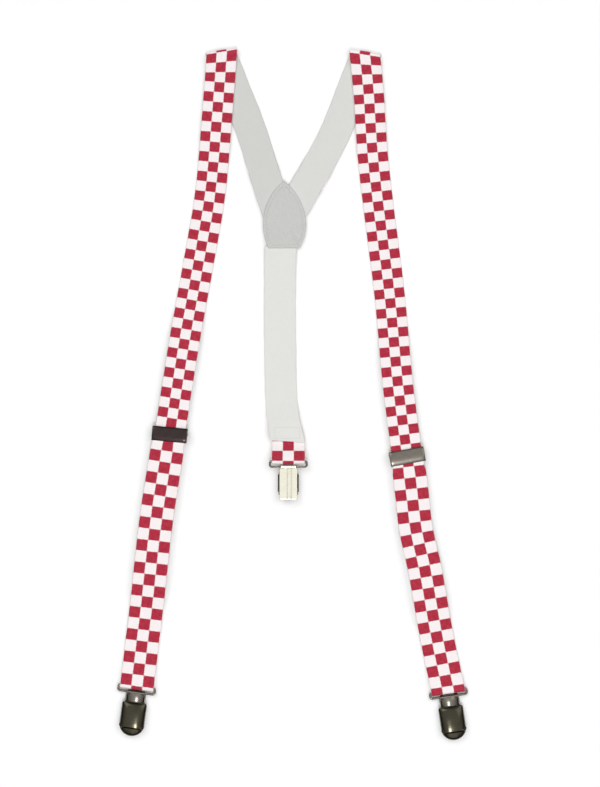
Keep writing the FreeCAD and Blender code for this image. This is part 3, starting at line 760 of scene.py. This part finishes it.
def make_clip_loop(name, side):
    lower_length = lower_route(side, 0.5).length
    wire = Vector((*side["end"], BAIL_Z)) + y_way(side["end_turn"], BAIL_HEIGHT)
    rows = loop_rows(wire, side["end_turn"], WIRE + WIRE_GAP + WEB / 2, LOWER_WIDTH, 2.0)
    piece = webbing(name + "_loop_webbing", rows, True, side["lower_pitch"],
                    side["first_row"] - lower_length, side["first_parity"], 0.0, wave=0.0)
    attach(piece, name + "_hanger")
    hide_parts(name + "_clip_loop")
    return piece


def rear_low(run, total):
    """Height of the rear strap's lower face: on the patch, on the ground, then on its tab."""
    return eased(run, total - 32, total - 12, eased(run, 8, 24, PATCH, 0.0), 2 * WEB + 0.7)


def make_rear_strap():
    route = Route(REAR_ROUTE[:-1] + [REAR_HEM])
    total = route.length
    rows = stations(route, STATION_STEP, lambda run: rear_low(run, total) + WEB / 2,
                    lambda run: eased(run, total - 18, total - 3, REAR_WIDTH, REAR_HEM_WIDTH),
                    turn_out=x_way(-3.0))
    piece = webbing("rear_webbing", rows, False, REAR_PITCH, 1.0, 0, 5.2, wave=0.08)
    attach(piece, "back")
    laid("rear_strap", total)


def make_rear_tab():
    wire_y = REAR_BAIL[1] + BAIL_HEIGHT
    radius = WIRE + WIRE_GAP + WEB / 2
    places = [(TAB_TOP, TAB_TOP_Z), (-27.0, TAB_TOP_Z), (-31.0, TAB_TOP_Z), (-35.0, TAB_TOP_Z + 0.2),
              (-39.0, TAB_TOP_Z + 0.5), (-42.0, 3.4), (-45.0, 4.6), (wire_y + 3, REAR_BAIL_Z + radius)]
    places += half_turn(wire_y, REAR_BAIL_Z, radius)
    places += [(wire_y + 3, REAR_BAIL_Z - radius), (-43.0, 1.8), (-36.0, 0.7), (-30.0, WEB / 2),
               (TAB_TOP, WEB / 2)]
    rows = []
    for y, z, run in measured(places):
        width = eased(-y, -TAB_TOP, 38.0, REAR_TAB_WIDTH - 3.0, REAR_TAB_WIDTH)
        rows.append((Vector((REAR_BAIL[0] + eased(-y, -TAB_TOP, 38.0, -1.2, 0.0), y, z)), Vector((1, 0, 0)),
                     width, run))
    piece = webbing("rear_tab_webbing", rows, True, TAB_PITCH, 13.4, 1, 1.1, wave=0.0)
    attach(piece, "back")
    laid("rear_tab", run)


for side_name, side_facts in SIDES.items():
    make_shoulder_strap(side_name, side_facts)
    fold_piece = make_fold(side_name, side_facts)
    make_front_strap(side_name, side_facts)
    make_lower_strap(side_name, side_facts, make_clip_loop(side_name, side_facts))
    make_return_strap(side_name, side_facts)
make_rear_strap()
make_rear_tab()


# ---------------------------------------------------------------- small solids
class Block:
    """Collects shapes made in a part's own frame in millimetres, then makes one piece of them."""

    def __init__(self):
        self.mesh = bmesh.new()

    def box(self, x0, x1, y0, y1, z0, z1, bevel=0.15, segments=2):
        size = Vector((x1 - x0, y1 - y0, z1 - z0))
        middle = Vector((x0 + x1, y0 + y1, z0 + z1)) / 2
        place = Matrix.Translation(middle) @ Matrix.Diagonal((*size, 1))
        made = bmesh.ops.create_cube(self.mesh, size=1.0, matrix=place)
        edges = list(dict.fromkeys(edge for vertex in made["verts"] for edge in vertex.link_edges))
        bmesh.ops.bevel(self.mesh, geom=edges, offset=min(bevel, min(size) * 0.45), segments=segments,
                        profile=0.5, affect="EDGES")

    def skin(self, rings, around=True, onward=False):
        """Faces between rings of points: around closes each ring, onward joins the last to the first."""
        made = [[self.mesh.verts.new(point) for point in ring] for ring in rings]
        for near, far in zip(made, made[1:] + (made[:1] if onward else [])):
            for j in range(len(near) if around else len(near) - 1):
                k = (j + 1) % len(near)
                self.mesh.faces.new((near[j], near[k], far[k], far[j]))
        return made

    def cap(self, *rings):
        for ring in rings:
            self.mesh.faces.new(ring)

    def slab(self, outline, z0, z1, edge):
        """A plate with an outline and both its rims rounded off by edge."""
        middle = sum((Vector((x, y)) for x, y in outline), Vector((0, 0))) / len(outline)
        rings = []
        for inset, z in ((edge * 2, z0), (edge, z0), (edge * 0.3, z0 + edge * 0.3), (0.0, z0 + edge),
                         (0.0, z1 - edge), (edge * 0.3, z1 - edge * 0.3), (edge, z1), (edge * 2, z1)):
            ring = []
            for x, y in outline:
                way = Vector((x, y)) - middle
                ring.append((x - math.copysign(min(inset, abs(way.x)), way.x),
                             y - math.copysign(min(inset, abs(way.y)), way.y), z))
            rings.append(ring)
        made = self.skin(rings)
        self.cap(made[0], made[-1])

    def lathe(self, profile, y, z, steps=32, start=0.0, stop=360.0, bore=False):
        """Turn (x, radius) points about a line along X through (y, z), solid or with a bore."""
        whole = stop - start >= 360.0
        rings = []
        for i in range(steps if whole else steps + 1):
            angle = math.radians(start + (stop - start) * i / steps)
            rings.append([(x, y + radius * math.cos(angle), z + radius * math.sin(angle))
                          for x, radius in profile])
        made = self.skin(rings, around=bore, onward=whole)
        if whole and not bore:
            self.cap([ring[0] for ring in made], [ring[-1] for ring in made])

    def rod(self, x0, x1, y, z, radius, edge=0.12, steps=32):
        edge = min(edge, radius * 0.4)
        self.lathe([(x0, radius - edge), (x0 + edge * 0.3, radius - edge * 0.3), (x0 + edge, radius),
                    (x1 - edge, radius), (x1 - edge * 0.3, radius - edge * 0.3), (x1, radius - edge)],
                   y, z, steps)

    def tube(self, points, radius, sides=16, closed=False):
        """Round wire through points."""
        count = len(points)
        angles = [2 * math.pi * k / sides for k in range(sides)]
        rings = []
        for i, point in enumerate(points):
            before = points[i - 1] if closed or i else point
            after = points[(i + 1) % count] if closed or i < count - 1 else point
            along = (after - before).normalized()
            first = along.cross(Vector((0, 0, 1))).normalized()
            second = along.cross(first)
            rings.append([point + (first * math.cos(a) + second * math.sin(a)) * radius for a in angles])
        made = self.skin(rings, onward=closed)
        if not closed:
            self.cap(made[0], made[-1])

    def round_bar(self, half, radius, edge, y, z, steps, low=PIN_RADIUS + 0.05, **turn):
        """A lathed bar from -half to half with its rims taken off by edge."""
        self.lathe([(-half, low), (-half, radius - edge), (-half + edge, radius), (half - edge, radius),
                    (half, radius - edge), (half, low)], y, z, steps, **turn)

    def piece(self, name, matrix, material, sharp=35, thickness=None):
        bmesh.ops.remove_doubles(self.mesh, verts=self.mesh.verts, dist=0.0005)
        bmesh.ops.recalc_face_normals(self.mesh, faces=self.mesh.faces)
        if thickness is not None:
            bmesh.ops.solidify(self.mesh, geom=self.mesh.faces, thickness=thickness)
            bmesh.ops.recalc_face_normals(self.mesh, faces=self.mesh.faces)
        self.mesh.transform(Matrix.Scale(MM, 4) @ matrix)
        if matrix.determinant() < 0:
            bmesh.ops.reverse_faces(self.mesh, faces=self.mesh.faces)
        mesh = bpy.data.meshes.new(name)
        self.mesh.to_mesh(mesh)
        self.mesh.free()
        piece = bpy.data.objects.new(name, mesh)
        bpy.context.scene.collection.objects.link(piece)
        mesh.materials.append(material)
        smooth(piece)
        weighted_normals(mesh, sharp)
        return piece


def place_matrix(origin, turn, flip=False):
    matrix = Matrix.Translation(Vector(origin)) @ Matrix.Rotation(math.radians(turn), 4, "Z")
    if flip:
        matrix = matrix @ Matrix.Rotation(math.pi, 4, "Y")
    return matrix


def settle(piece, body, slot, *nodes):
    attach(piece, body)
    if nodes:
        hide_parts(*nodes)


# ---------------------------------------------------------------- rings and clips
def make_bail(prefix, matrix, material, slot):
    half = BAIL_WIDTH / 2
    corner = BAIL_CORNER
    points = []
    for cx, cy, start in ((half - corner, corner, -90), (half - corner, BAIL_HEIGHT - corner, 0),
                          (-half + corner, BAIL_HEIGHT - corner, 90), (-half + corner, corner, 180)):
        for i in range(9):
            angle = math.radians(start + 90 * i / 8)
            points.append(Vector((cx + corner * math.cos(angle), cy + corner * math.sin(angle), 0)))
    block = Block()
    block.tube(points, WIRE, closed=True)
    piece = block.piece(prefix + "_ring_wire", matrix, material, sharp=60)
    settle(piece, prefix + "_ring", slot, prefix + "_bail")


def cover_row(y, half, low, top):
    row = []
    for i in range(COVER_COLUMNS + 1):
        angle = math.pi * i / COVER_COLUMNS
        c = math.cos(angle)
        s = math.sin(angle)
        x = math.copysign(abs(c) ** (2 / COVER_ROUND), c) * half
        z = low + (top - low) * abs(s) ** (2 / COVER_ROUND)
        row.append((x, y, z))
    return row


def cover_width(spec, y):
    """Half width of the clip's rounded cover at y."""
    half = spec["shield"] / 2
    low = -spec["length"]
    round_start = low + half * 0.92
    from_top = -spec["free_end"] - y
    if from_top < COVER_CORNER:
        return half - COVER_CORNER + math.sqrt(max(COVER_CORNER ** 2 - (COVER_CORNER - from_top) ** 2, 0))
    if y < round_start:
        share = min((round_start - y) / (round_start - low), 1.0)
        return max(half * math.sqrt(1 - share ** 2), 0.02)
    return half


def cover_top(spec, y):
    """Height of the cover's crown at y: flat along the middle, falling round each end."""
    middle = -(spec["free_end"] + spec["length"]) / 2
    half = (spec["length"] - spec["free_end"]) / 2
    share = min(abs(y - middle) / half, 1.0)
    return FOOT_LOW + (SHIELD_TOP - FOOT_LOW) * (1 - share ** CROWN_POWER) ** (1 / CROWN_POWER)


def make_lever(prefix, spec, matrix, material, slot):
    pin_y = -spec["pin"]
    reach = SHIELD_TOP - PIN_Z
    top = -spec["free_end"]
    rows = []
    for i in range(15):
        y = top - 3.0 * (i / 14) ** 2
        low = eased(top - y, 0.2, 2.2, 2.6, FOOT_LOW)
        rows.append(cover_row(y, cover_width(spec, y), low, max(cover_top(spec, y), low + 0.02)))
    steps = 16
    for i in range(1, steps + 1):
        y = top - 3.0 + (pin_y + 0.2 - (top - 3.0)) * i / steps
        rows.append(cover_row(y, cover_width(spec, y), FOOT_LOW, cover_top(spec, y)))
    steps = 14
    for i in range(1, steps + 1):
        angle = math.radians(NOSE_END) * i / steps
        y = pin_y - reach * math.sin(angle) ** NOSE_POWER
        roll = PIN_Z + reach * math.cos(angle) ** NOSE_POWER
        low = eased(pin_y - y, 0.3, 1.9, FOOT_LOW, NOSE_LOW)
        rows.append(cover_row(y, cover_width(spec, y) - 0.02, min(low, roll - 0.3),
                              min(cover_top(spec, y), roll)))
    block = Block()
    block.skin(rows, around=False)
    shell = block.piece(prefix + "_lever_shell", matrix, material, thickness=0.5)
    settle(shell, prefix + "_lever", slot, prefix + "_clip_lever")
    block = Block()
    half = spec["shield"] / 2
    for x0, x1 in ((-half + 0.7, -half + 1.8), (half - 1.8, half - 0.7)):
        block.lathe([(x0, PIN_RADIUS + 0.05), (x0, 1.1), (x0 + 0.15, 1.25), (x1 - 0.15, 1.25), (x1, 1.1),
                     (x1, PIN_RADIUS + 0.05)], pin_y, PIN_Z, 28, bore=True)
    lobe = spec["base"] / 2 - PLATE - 1.6
    block.round_bar(lobe, LOBE, 0.2, pin_y, PIN_Z, 10, start=LOBE_ANGLES[0], stop=LOBE_ANGLES[1])
    block.rod(-lobe, lobe, pin_y, PIN_Z, 1.2)
    block.box(-lobe, lobe, pin_y + 0.3, pin_y + 1.8, PIN_Z - 1.1, SHIELD_TOP - PLATE, 0.1)
    cam = block.piece(prefix + "_lever_cam", matrix, material)
    settle(cam, prefix + "_lever", slot)


def make_jaw(prefix, spec, matrix, material, slot):
    pin_y = -spec["pin"]
    toe_y = pin_y - TOE
    seam_y = pin_y - (SHIELD_TOP - PIN_Z) - SEAM
    jaw_y = -JAW_PIVOT[0] * spec["pin"] / FRONT_CLIP["pin"]
    half = spec["base"] / 2 - PLATE - 0.3
    rows = []
    steps = 26
    for i in range(steps + 1):
        y = seam_y + (-spec["length"] - seam_y) * math.sin(math.pi / 2 * i / steps)
        rows.append(cover_row(y, cover_width(spec, y), FOOT_LOW, max(cover_top(spec, y), FOOT_LOW + 0.02)))
    block = Block()
    block.skin(rows, around=False)
    toe = block.piece(prefix + "_toe_shell", matrix, material, thickness=PLATE * 0.9)
    settle(toe, prefix + "_jaw", slot, prefix + "_clip_jaw")
    block = Block()
    block.box(-half, half, toe_y - PLATE, jaw_y + 0.9, LEAF_LOW, LEAF_LOW + PLATE)
    block.box(-half, half, toe_y - PLATE, toe_y, LEAF_LOW, FOOT_LOW + PLATE)
    block.rod(-spec["base"] / 2, spec["base"] / 2, jaw_y, JAW_PIVOT[1], TRUNNION)
    sole = sole_outline(spec, toe_y)
    block.cap(*block.skin([[(x, y, z) for x, y in sole] for z in (FOOT_LOW, FOOT_LOW + PLATE)]))
    leaf = block.piece(prefix + "_jaw_leaf", matrix, material)
    settle(leaf, prefix + "_jaw", slot)


def sole_outline(spec, toe_y):
    """Outline of the toe's flat sole, half by half."""
    right = []
    for i in range(15):
        y = toe_y + (-spec["length"] + 0.4 - toe_y) * math.sin(math.pi / 2 * i / 14)
        right.append((max(cover_width(spec, y) - 0.5, 0.3), y))
    return right + [(-x, y) for x, y in reversed(right)]


def base_outline(spec, far, x0, x1):
    """The base plate's outline between x0 and x1, rounded at the far corners, anticlockwise."""
    half = spec["base"] / 2
    corner = spec["corner"]
    points = [(x1, -1.2), (x0, -1.2)]
    for i in range(25):
        x = x0 + (x1 - x0) * i / 24
        beyond = max(abs(x) - (half - corner), 0.0)
        points.append((x, far + corner - math.sqrt(max(corner ** 2 - min(beyond, corner) ** 2, 0.0))))
    return points


def make_base(prefix, spec, matrix, material, slot, pin_metal):
    half = spec["base"] / 2
    pin_y = -spec["pin"]
    low = BASE_LOW
    block = Block()
    far = -spec["length"] + 0.4
    block.slab(base_outline(spec, far, -half + 0.12, half - 0.12), low + 0.4, low + PLATE, 0.15)
    lines = [groove * half for groove in GROOVES]
    starts = [-half] + [line + GROOVE_HALF for line in lines]
    ends = [line - GROOVE_HALF for line in lines] + [half]
    for start, end in zip(starts, ends):
        block.slab(base_outline(spec, far, start, end), low, low + 0.6, 0.36)
    block.round_bar(half - 1, -low, 0.2, 0, 0, 34, WIRE + 0.08, start=-270, stop=60)
    for x in (-half, half - PLATE):
        block.box(x, x + PLATE, pin_y + 2.6, -3.0, low + 0.3, 1.5, 0.2)
        block.box(x, x + PLATE, pin_y - EAR_HALF, pin_y + 2.7, low + 0.3, 0.9, 0.2)
    for x in (-half + EAR_INSET, half - EAR_INSET - EAR_SHEET):
        block.box(x, x + EAR_SHEET, pin_y - EAR, pin_y + EAR, low + 0.5, PIN_Z, 0.1)
        block.rod(x, x + EAR_SHEET, pin_y, PIN_Z, EAR)
    base = block.piece(prefix + "_base_channel", matrix, material)
    settle(base, prefix + "_clip", slot, prefix + "_clip_base")
    rows = []
    for i in range(13):
        y = -0.6 - (spec["free_end"] + 1.4) * i / 12
        crown = 2.0 + 0.2 * math.sin(math.pi * min(i / 8, 1.0))
        reach = half - 0.9
        rows.append([(reach * x, y, crown - 2.2 * abs(x) ** 2.1)
                     for x in (math.sin(math.pi / 2 * (j / 12 - 1)) for j in range(25))])
    block = Block()
    block.skin(rows, around=False)
    neck = block.piece(prefix + "_neck", matrix, material, thickness=0.45)
    settle(neck, prefix + "_clip", slot)
    block = Block()
    end = spec["shield"] / 2 - 0.5
    block.rod(-end, end, pin_y, PIN_Z, PIN_RADIUS)
    for sign in (-1, 1):
        head = [(0, 0.05), (0, PIN_HEAD), (0.3, PIN_HEAD - 0.05), (0.55, PIN_HEAD * 0.75),
                (0.7, PIN_HEAD * 0.3), (0.7, 0.05)]
        block.lathe([(sign * (end + out), radius) for out, radius in head], pin_y, PIN_Z, 24)
    pin = block.piece(prefix + "_hinge_pin", matrix, pin_metal)
    settle(pin, prefix + "_clip", "nickel", prefix + "_clip_pin")


def make_pads(prefix, spec, matrix):
    half = spec["base"] / 2 - PLATE - 0.3 - PAD_INSET
    y0 = -spec["length"] + PAD_END
    y1 = -spec["pin"] - PAD_START
    pitch = (y1 - y0) / spec["ridges"]
    for name, body, low, high, up in (("clip_base_pad", "clip", BASE_LOW + PLATE, -0.3, True),
                                      ("clip_jaw_pad", "jaw", -0.1, FOOT_LOW, False)):
        block = Block()
        block.box(-half, half, y0, y1, low if up else low + 0.3, high - 0.3 if up else high, 0.12)
        for i in range(spec["ridges"]):
            y = y0 + pitch * (i + 0.5) + pitch * (0.15 if up else -0.15)
            block.box(-half + 0.1, half - 0.1, y - 0.3, y + 0.3, high - 0.5 if up else low,
                      high if up else low + 0.5, 0.14, 3)
        piece = block.piece(prefix + "_" + body + "_grip", matrix, GRIP)
        settle(piece, prefix + "_" + body, "grip", prefix + "_" + name)


def make_clip(prefix, spec, matrix, cover_metal, cover_slot, base_metal, base_slot):
    make_bail(prefix, matrix, STEEL, "nickel")
    make_lever(prefix, spec, matrix, cover_metal, cover_slot)
    make_jaw(prefix, spec, matrix, cover_metal, cover_slot)
    make_base(prefix, spec, matrix, base_metal, base_slot, cover_metal)
    make_pads(prefix, spec, matrix)


# ---------------------------------------------------------------- slides
def make_slide(name, side, metal, slot):
    matrix = place_matrix((*side["slide"], 0), side["slide_turn"] + side["slide_skew"])
    pin_matrix = place_matrix((*side["slide"], 0), side["slide_turn"])
    half = SLIDE_WIDTH / 2
    end = SLIDE_LENGTH / 2
    rows = []
    for i in range(29):
        v = math.sin(math.pi / 2 * (i / 14 - 1))
        row = []
        for j in range(61):
            u = math.sin(math.pi / 2 * (j / 30 - 1))
            drop = 1.3 * (1 - ((1 - abs(u) ** 14) * (1 - abs(v) ** 5)) ** (1 / 5)) + 0.75 * v * v
            row.append((u * half, v * end, SLIDE_TOP - min(drop, 1.3)))
        rows.append(row)
    block = Block()
    block.skin(rows, around=False)
    plate = block.piece(name + "_slide_plate", matrix, metal, thickness=SHEET * 0.75)
    settle(plate, name + "_slide", slot, name + "_slide_frame")
    block = Block()
    for x in (-half, half - SHEET):
        block.box(x, x + SHEET, -end + 0.6, end - 0.6, 0.3, SLIDE_TOP - 0.9, 0.3, 3)
    block.box(-half + 0.4, half - 0.4, BAR_Y - BAR_HALF, BAR_Y + BAR_HALF, BAR_LOW, BAR_HIGH, 0.35, 4)
    cheeks = block.piece(name + "_slide_cheeks", matrix, metal)
    settle(cheeks, name + "_slide", slot)
    block = Block()
    block.rod(-half, half, FLAP_Y, FLAP_Z, SLIDE_PIN)
    for x0, x1 in ((-half - 0.4, -half), (half, half + 0.4)):
        block.rod(x0, x1, FLAP_Y, FLAP_Z, 1.0, 0.3)
    pin = block.piece(name + "_slide_rivet", pin_matrix, NICKEL)
    settle(pin, name + "_slide", "nickel", name + "_slide_pin")
    inner = half - SHEET - 0.4
    block = Block()
    block.round_bar(inner, KNUCKLE, 0.15, FLAP_Y, FLAP_Z, 28, SLIDE_PIN + 0.05, bore=True)
    low = FLAP_Z - KNUCKLE
    block.box(-inner, inner, FLAP_Y + SLIDE_PIN + 0.15, FLAP_Y + FLAP_LENGTH, low, low + FLAP_SHEET, 0.35, 4)
    pitch = (2 * inner - 2) / TEETH
    for i in range(TEETH):
        x = -inner + 1 + pitch * (i + 0.5)
        block.box(x - pitch * 0.3, x + pitch * 0.3, FLAP_Y - 0.4, FLAP_Y + 0.4, FLAP_Z + 0.8,
                  STRAP_Z - 0.25, 0.18, 3)
    flap = block.piece(name + "_lock_flap", pin_matrix, NICKEL)
    settle(flap, name + "_flap", "nickel", name + "_slide_flap")


# ---------------------------------------------------------------- patch and stitches
def arc_points(a, b, c, count):
    """Points on the circle through a, b and c, from a to just before c."""
    ax, ay = a
    bx, by = b
    cx, cy = c
    square_a, square_b, square_c = (x ** 2 + y ** 2 for x, y in (a, b, c))
    d = 2 * (ax * (by - cy) + bx * (cy - ay) + cx * (ay - by))
    ux = (square_a * (by - cy) + square_b * (cy - ay) + square_c * (ay - by)) / d
    uy = (square_a * (cx - bx) + square_b * (ax - cx) + square_c * (bx - ax)) / d
    radius = math.hypot(ax - ux, ay - uy)
    start = math.atan2(ay - uy, ax - ux)
    middle = (math.atan2(by - uy, bx - ux) - start) % (2 * math.pi)
    whole = (math.atan2(cy - uy, cx - ux) - start) % (2 * math.pi)
    if middle > whole:
        whole -= 2 * math.pi
    angles = [start + whole * i / count for i in range(count)]
    return [(ux + radius * math.cos(angle), uy + radius * math.sin(angle)) for angle in angles]


def patch_outline():
    x, y = PATCH_MIDDLE
    half = PATCH_HALF
    top = (x - 0.3, y + PATCH_TOP)
    left = (x - half, y)
    right = (x + half, y)
    low_left = (x - half * 0.76, y - PATCH_BOTTOM)
    low_right = (x + half * 0.70, y - PATCH_BOTTOM)
    points = arc_points(top, (x - half * 0.70, y + PATCH_TOP * 0.55), left, 34)
    points += arc_points(left, (x - half * 0.96, y - PATCH_BOTTOM * 0.55), low_left, 20)
    for i in range(16):
        share = i / 16
        points.append((low_left[0] + (low_right[0] - low_left[0]) * share, low_left[1]))
    points += arc_points(low_right, (x + half * 0.95, y - PATCH_BOTTOM * 0.55), right, 20)
    points += arc_points(right, (x + half * 0.68, y + PATCH_TOP * 0.55), top, 34)
    return [Vector((px, py, 0)) for px, py in points]


def moved_in(outline, inset):
    """The outline moved in by a distance square to itself, with its corners eased."""
    count = len(outline)
    found = []
    for i, point in enumerate(outline):
        near = (outline[(i + 1) % count] - outline[i - 1]).normalized()
        found.append(point + Vector((-near.y, near.x, 0)) * inset)
    for _ in range(min(int(inset * 2), 8)):
        found = [(found[i - 1] + found[i] * 2 + found[(i + 1) % count]) / 4 for i in range(count)]
    return found


class Cover:
    """How high the patch's upper sheet lies: carried by the straps, and sagging where there's none."""

    def __init__(self):
        self.lines = [(Route(shifted(side, side["rear"], -0.5)), SHOULDER_WIDTH / 2)
                      for side in SIDES.values()]
        self.lines.append((Route(REAR_ROUTE), REAR_WIDTH / 2))

    def sag(self, point):
        clear = min(float(route.gaps(point).min()) - half for route, half in self.lines)
        return eased(clear, -0.5, 3.0, 0.0, PATCH_SAG)


def make_patch(name, node, upward, base):
    """One leatherette sheet with a rounded cut edge and a groove where it's sewn.

    Gives back the groove's line, the cover and the height of the sheet's outer face.
    """
    outline = patch_outline()
    cover = Cover()
    sign = 1 if upward else -1
    face = base + (PATCH if upward else 0)
    rings = []
    for inset, depth in PATCH_PROFILE:
        ring = []
        for point in moved_in(outline, inset):
            z = face + sign * depth * PATCH - (cover.sag(point) if upward else 0.0)
            ring.append(Vector((point.x, point.y, z if upward else max(z, 0.0))))
        rings.append(ring)
    block = Block()
    made = block.skin(rings)
    block.cap(made[0], made[-1])
    bmesh.ops.triangulate(block.mesh, faces=[f for f in block.mesh.faces if len(f.verts) > 4])
    piece = block.piece(name, Matrix.Identity(4), LEATHER, sharp=60)
    settle(piece, "back", "leatherette", node)
    return moved_in(outline, PATCH_SEAM), cover, face


def stitch_line(name, points, heights, body, pitch=3.0, length=2.15, radius=0.24, lift=0.0):
    """Separate stitches along a line of points, each a short thread that dips in at both ends."""
    runs = [0.0]
    for near, far in zip(points, points[1:]):
        runs.append(runs[-1] + (far - near).length)
    xs = [p.x for p in points]
    ys = [p.y for p in points]
    block = Block()
    count = int(runs[-1] / pitch)
    for i in range(count):
        start = (i + 0.5) * runs[-1] / count - length / 2
        wire = []
        for j in range(7):
            share = j / 6
            run = start + length * share
            x = float(np.interp(run, runs, xs))
            y = float(np.interp(run, runs, ys))
            z = float(np.interp(run, runs, heights)) + lift * math.sin(math.pi * share) ** 0.5
            wire.append(Vector((x, y, z)))
        block.tube(wire, radius, sides=8)
    piece = block.piece(name, Matrix.Identity(4), THREAD, sharp=60)
    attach(piece, body)


def make_patches():
    line, cover, face = make_patch("patch_front_sheet", "patch_inner", True, PATCH + WEB)
    line = line + line[:1]
    heights = [face - 0.35 - cover.sag(point) for point in line]
    stitch_line("patch_front_stitches", line, heights, "back", lift=0.28)
    line = make_patch("patch_back_sheet", "patch_outer", False, 0.0)[0]
    line = line + line[:1]
    stitch_line("patch_back_stitches", line, [0.42] * len(line), "back", lift=-0.1)


def make_tab_stitches():
    """A box of stitching through the rear strap's end and the tab under it."""
    x = REAR_BAIL[0] - 1.0
    low, top = STITCH_BOX
    half = REAR_WIDTH / 2 - 3.0
    corners = [(x - half, top), (x + half, top), (x + half + 0.4, low), (x - half + 0.4, low),
               (x - half, top)]
    points = []
    for (x0, y0), (x1, y1) in zip(corners, corners[1:]):
        for i in range(12):
            points.append(Vector((x0 + (x1 - x0) * i / 12, y0 + (y1 - y0) * i / 12, 0)))
    points.append(Vector((*corners[-1], 0)))
    route = Route(REAR_ROUTE)
    heights = []
    for point in points:
        run = float(route.runs[int(route.gaps(point).argmin())])
        heights.append(rear_low(run, route.length) + WEB - 0.12)
    stitch_line("rear_tab_stitches", points, heights, "back", pitch=2.6, length=1.9, radius=0.2, lift=0.16)


for side_name, side_facts in SIDES.items():
    clip_place = place_matrix((*side_facts["end"], BAIL_Z), side_facts["end_turn"])
    make_clip(side_name, FRONT_CLIP, clip_place, DARK_NICKEL, "dark_nickel", STEEL, "nickel")
# The rear clip's cover is given the darker steel, not the bright nickel of its base, so its sides beside the
# base show as painted shade inside the cover.
make_clip("rear", REAR_CLIP, place_matrix((*REAR_BAIL, REAR_BAIL_Z), 0, True), STEEL, "nickel", NICKEL,
          "nickel")
make_slide("left", SIDES["left"], BLACK_NICKEL, "dark_nickel")
# The right slide is the same dark nickel hardware as the left. It is given the lighter steel, which is
# painted light: the brighter reflection it shows.
make_slide("right", SIDES["right"], STEEL, "dark_nickel")
make_patches()
make_tab_stitches()


# ---------------------------------------------------------------- floor, lights and camera
def make_stage():
    floor_material = new_material("floor", (0.95, 0.95, 0.95), 0.9)
    corners = [(x * FLOOR_HALF, y * FLOOR_HALF, 0) for x, y in ((-1, -1), (1, -1), (1, 1), (-1, 1))]
    floor = mesh_piece("floor", corners, [(0, 1, 2, 3)])
    floor.location.z = -FLOOR_DROP
    floor.data.materials.append(floor_material)
    world = bpy.data.worlds.new("room")
    world.use_nodes = True
    tree = world.node_tree
    background = tree.nodes["Background"]
    way = tree.nodes.new("ShaderNodeTexCoord")
    parts = tree.nodes.new("ShaderNodeSeparateXYZ")
    ramp = tree.nodes.new("ShaderNodeValToRGB")
    tree.links.new(way.outputs["Generated"], parts.inputs[0])
    tree.links.new(parts.outputs[2], ramp.inputs[0])
    tree.links.new(ramp.outputs[0], background.inputs["Color"])
    ramp.color_ramp.interpolation = "B_SPLINE"
    ramp.color_ramp.elements[0].position = WORLD_LEVELS[0][0]
    for place, level in WORLD_LEVELS[1:-1]:
        ramp.color_ramp.elements.new(place)
    for stop, (place, level) in zip(ramp.color_ramp.elements, WORLD_LEVELS):
        stop.color = (level, level, level, 1)
    background.inputs["Strength"].default_value = WORLD_STRENGTH
    bpy.context.scene.world = world
    for name, place, size, power in LIGHTS:
        light = bpy.data.lights.new(name, "AREA")
        light.size = size
        light.energy = power
        lamp = bpy.data.objects.new(name, light)
        lamp.location = place
        lamp.rotation_euler = (-Vector(place)).to_track_quat("-Z", "Y").to_euler()
        bpy.context.scene.collection.objects.link(lamp)


def make_camera():
    camera = bpy.data.cameras.new("camera")
    camera.lens = LENS
    camera.sensor_fit = "VERTICAL"
    camera.sensor_height = SENSOR_HEIGHT
    eye = bpy.data.objects.new("camera", camera)
    eye.location = (CAMERA_X, CAMERA_Y, FRAME_HEIGHT * LENS / SENSOR_HEIGHT)
    bpy.context.scene.collection.objects.link(eye)
    bpy.context.scene.camera = eye


make_stage()
make_camera()
bpy.context.scene.view_settings.view_transform = "Standard"
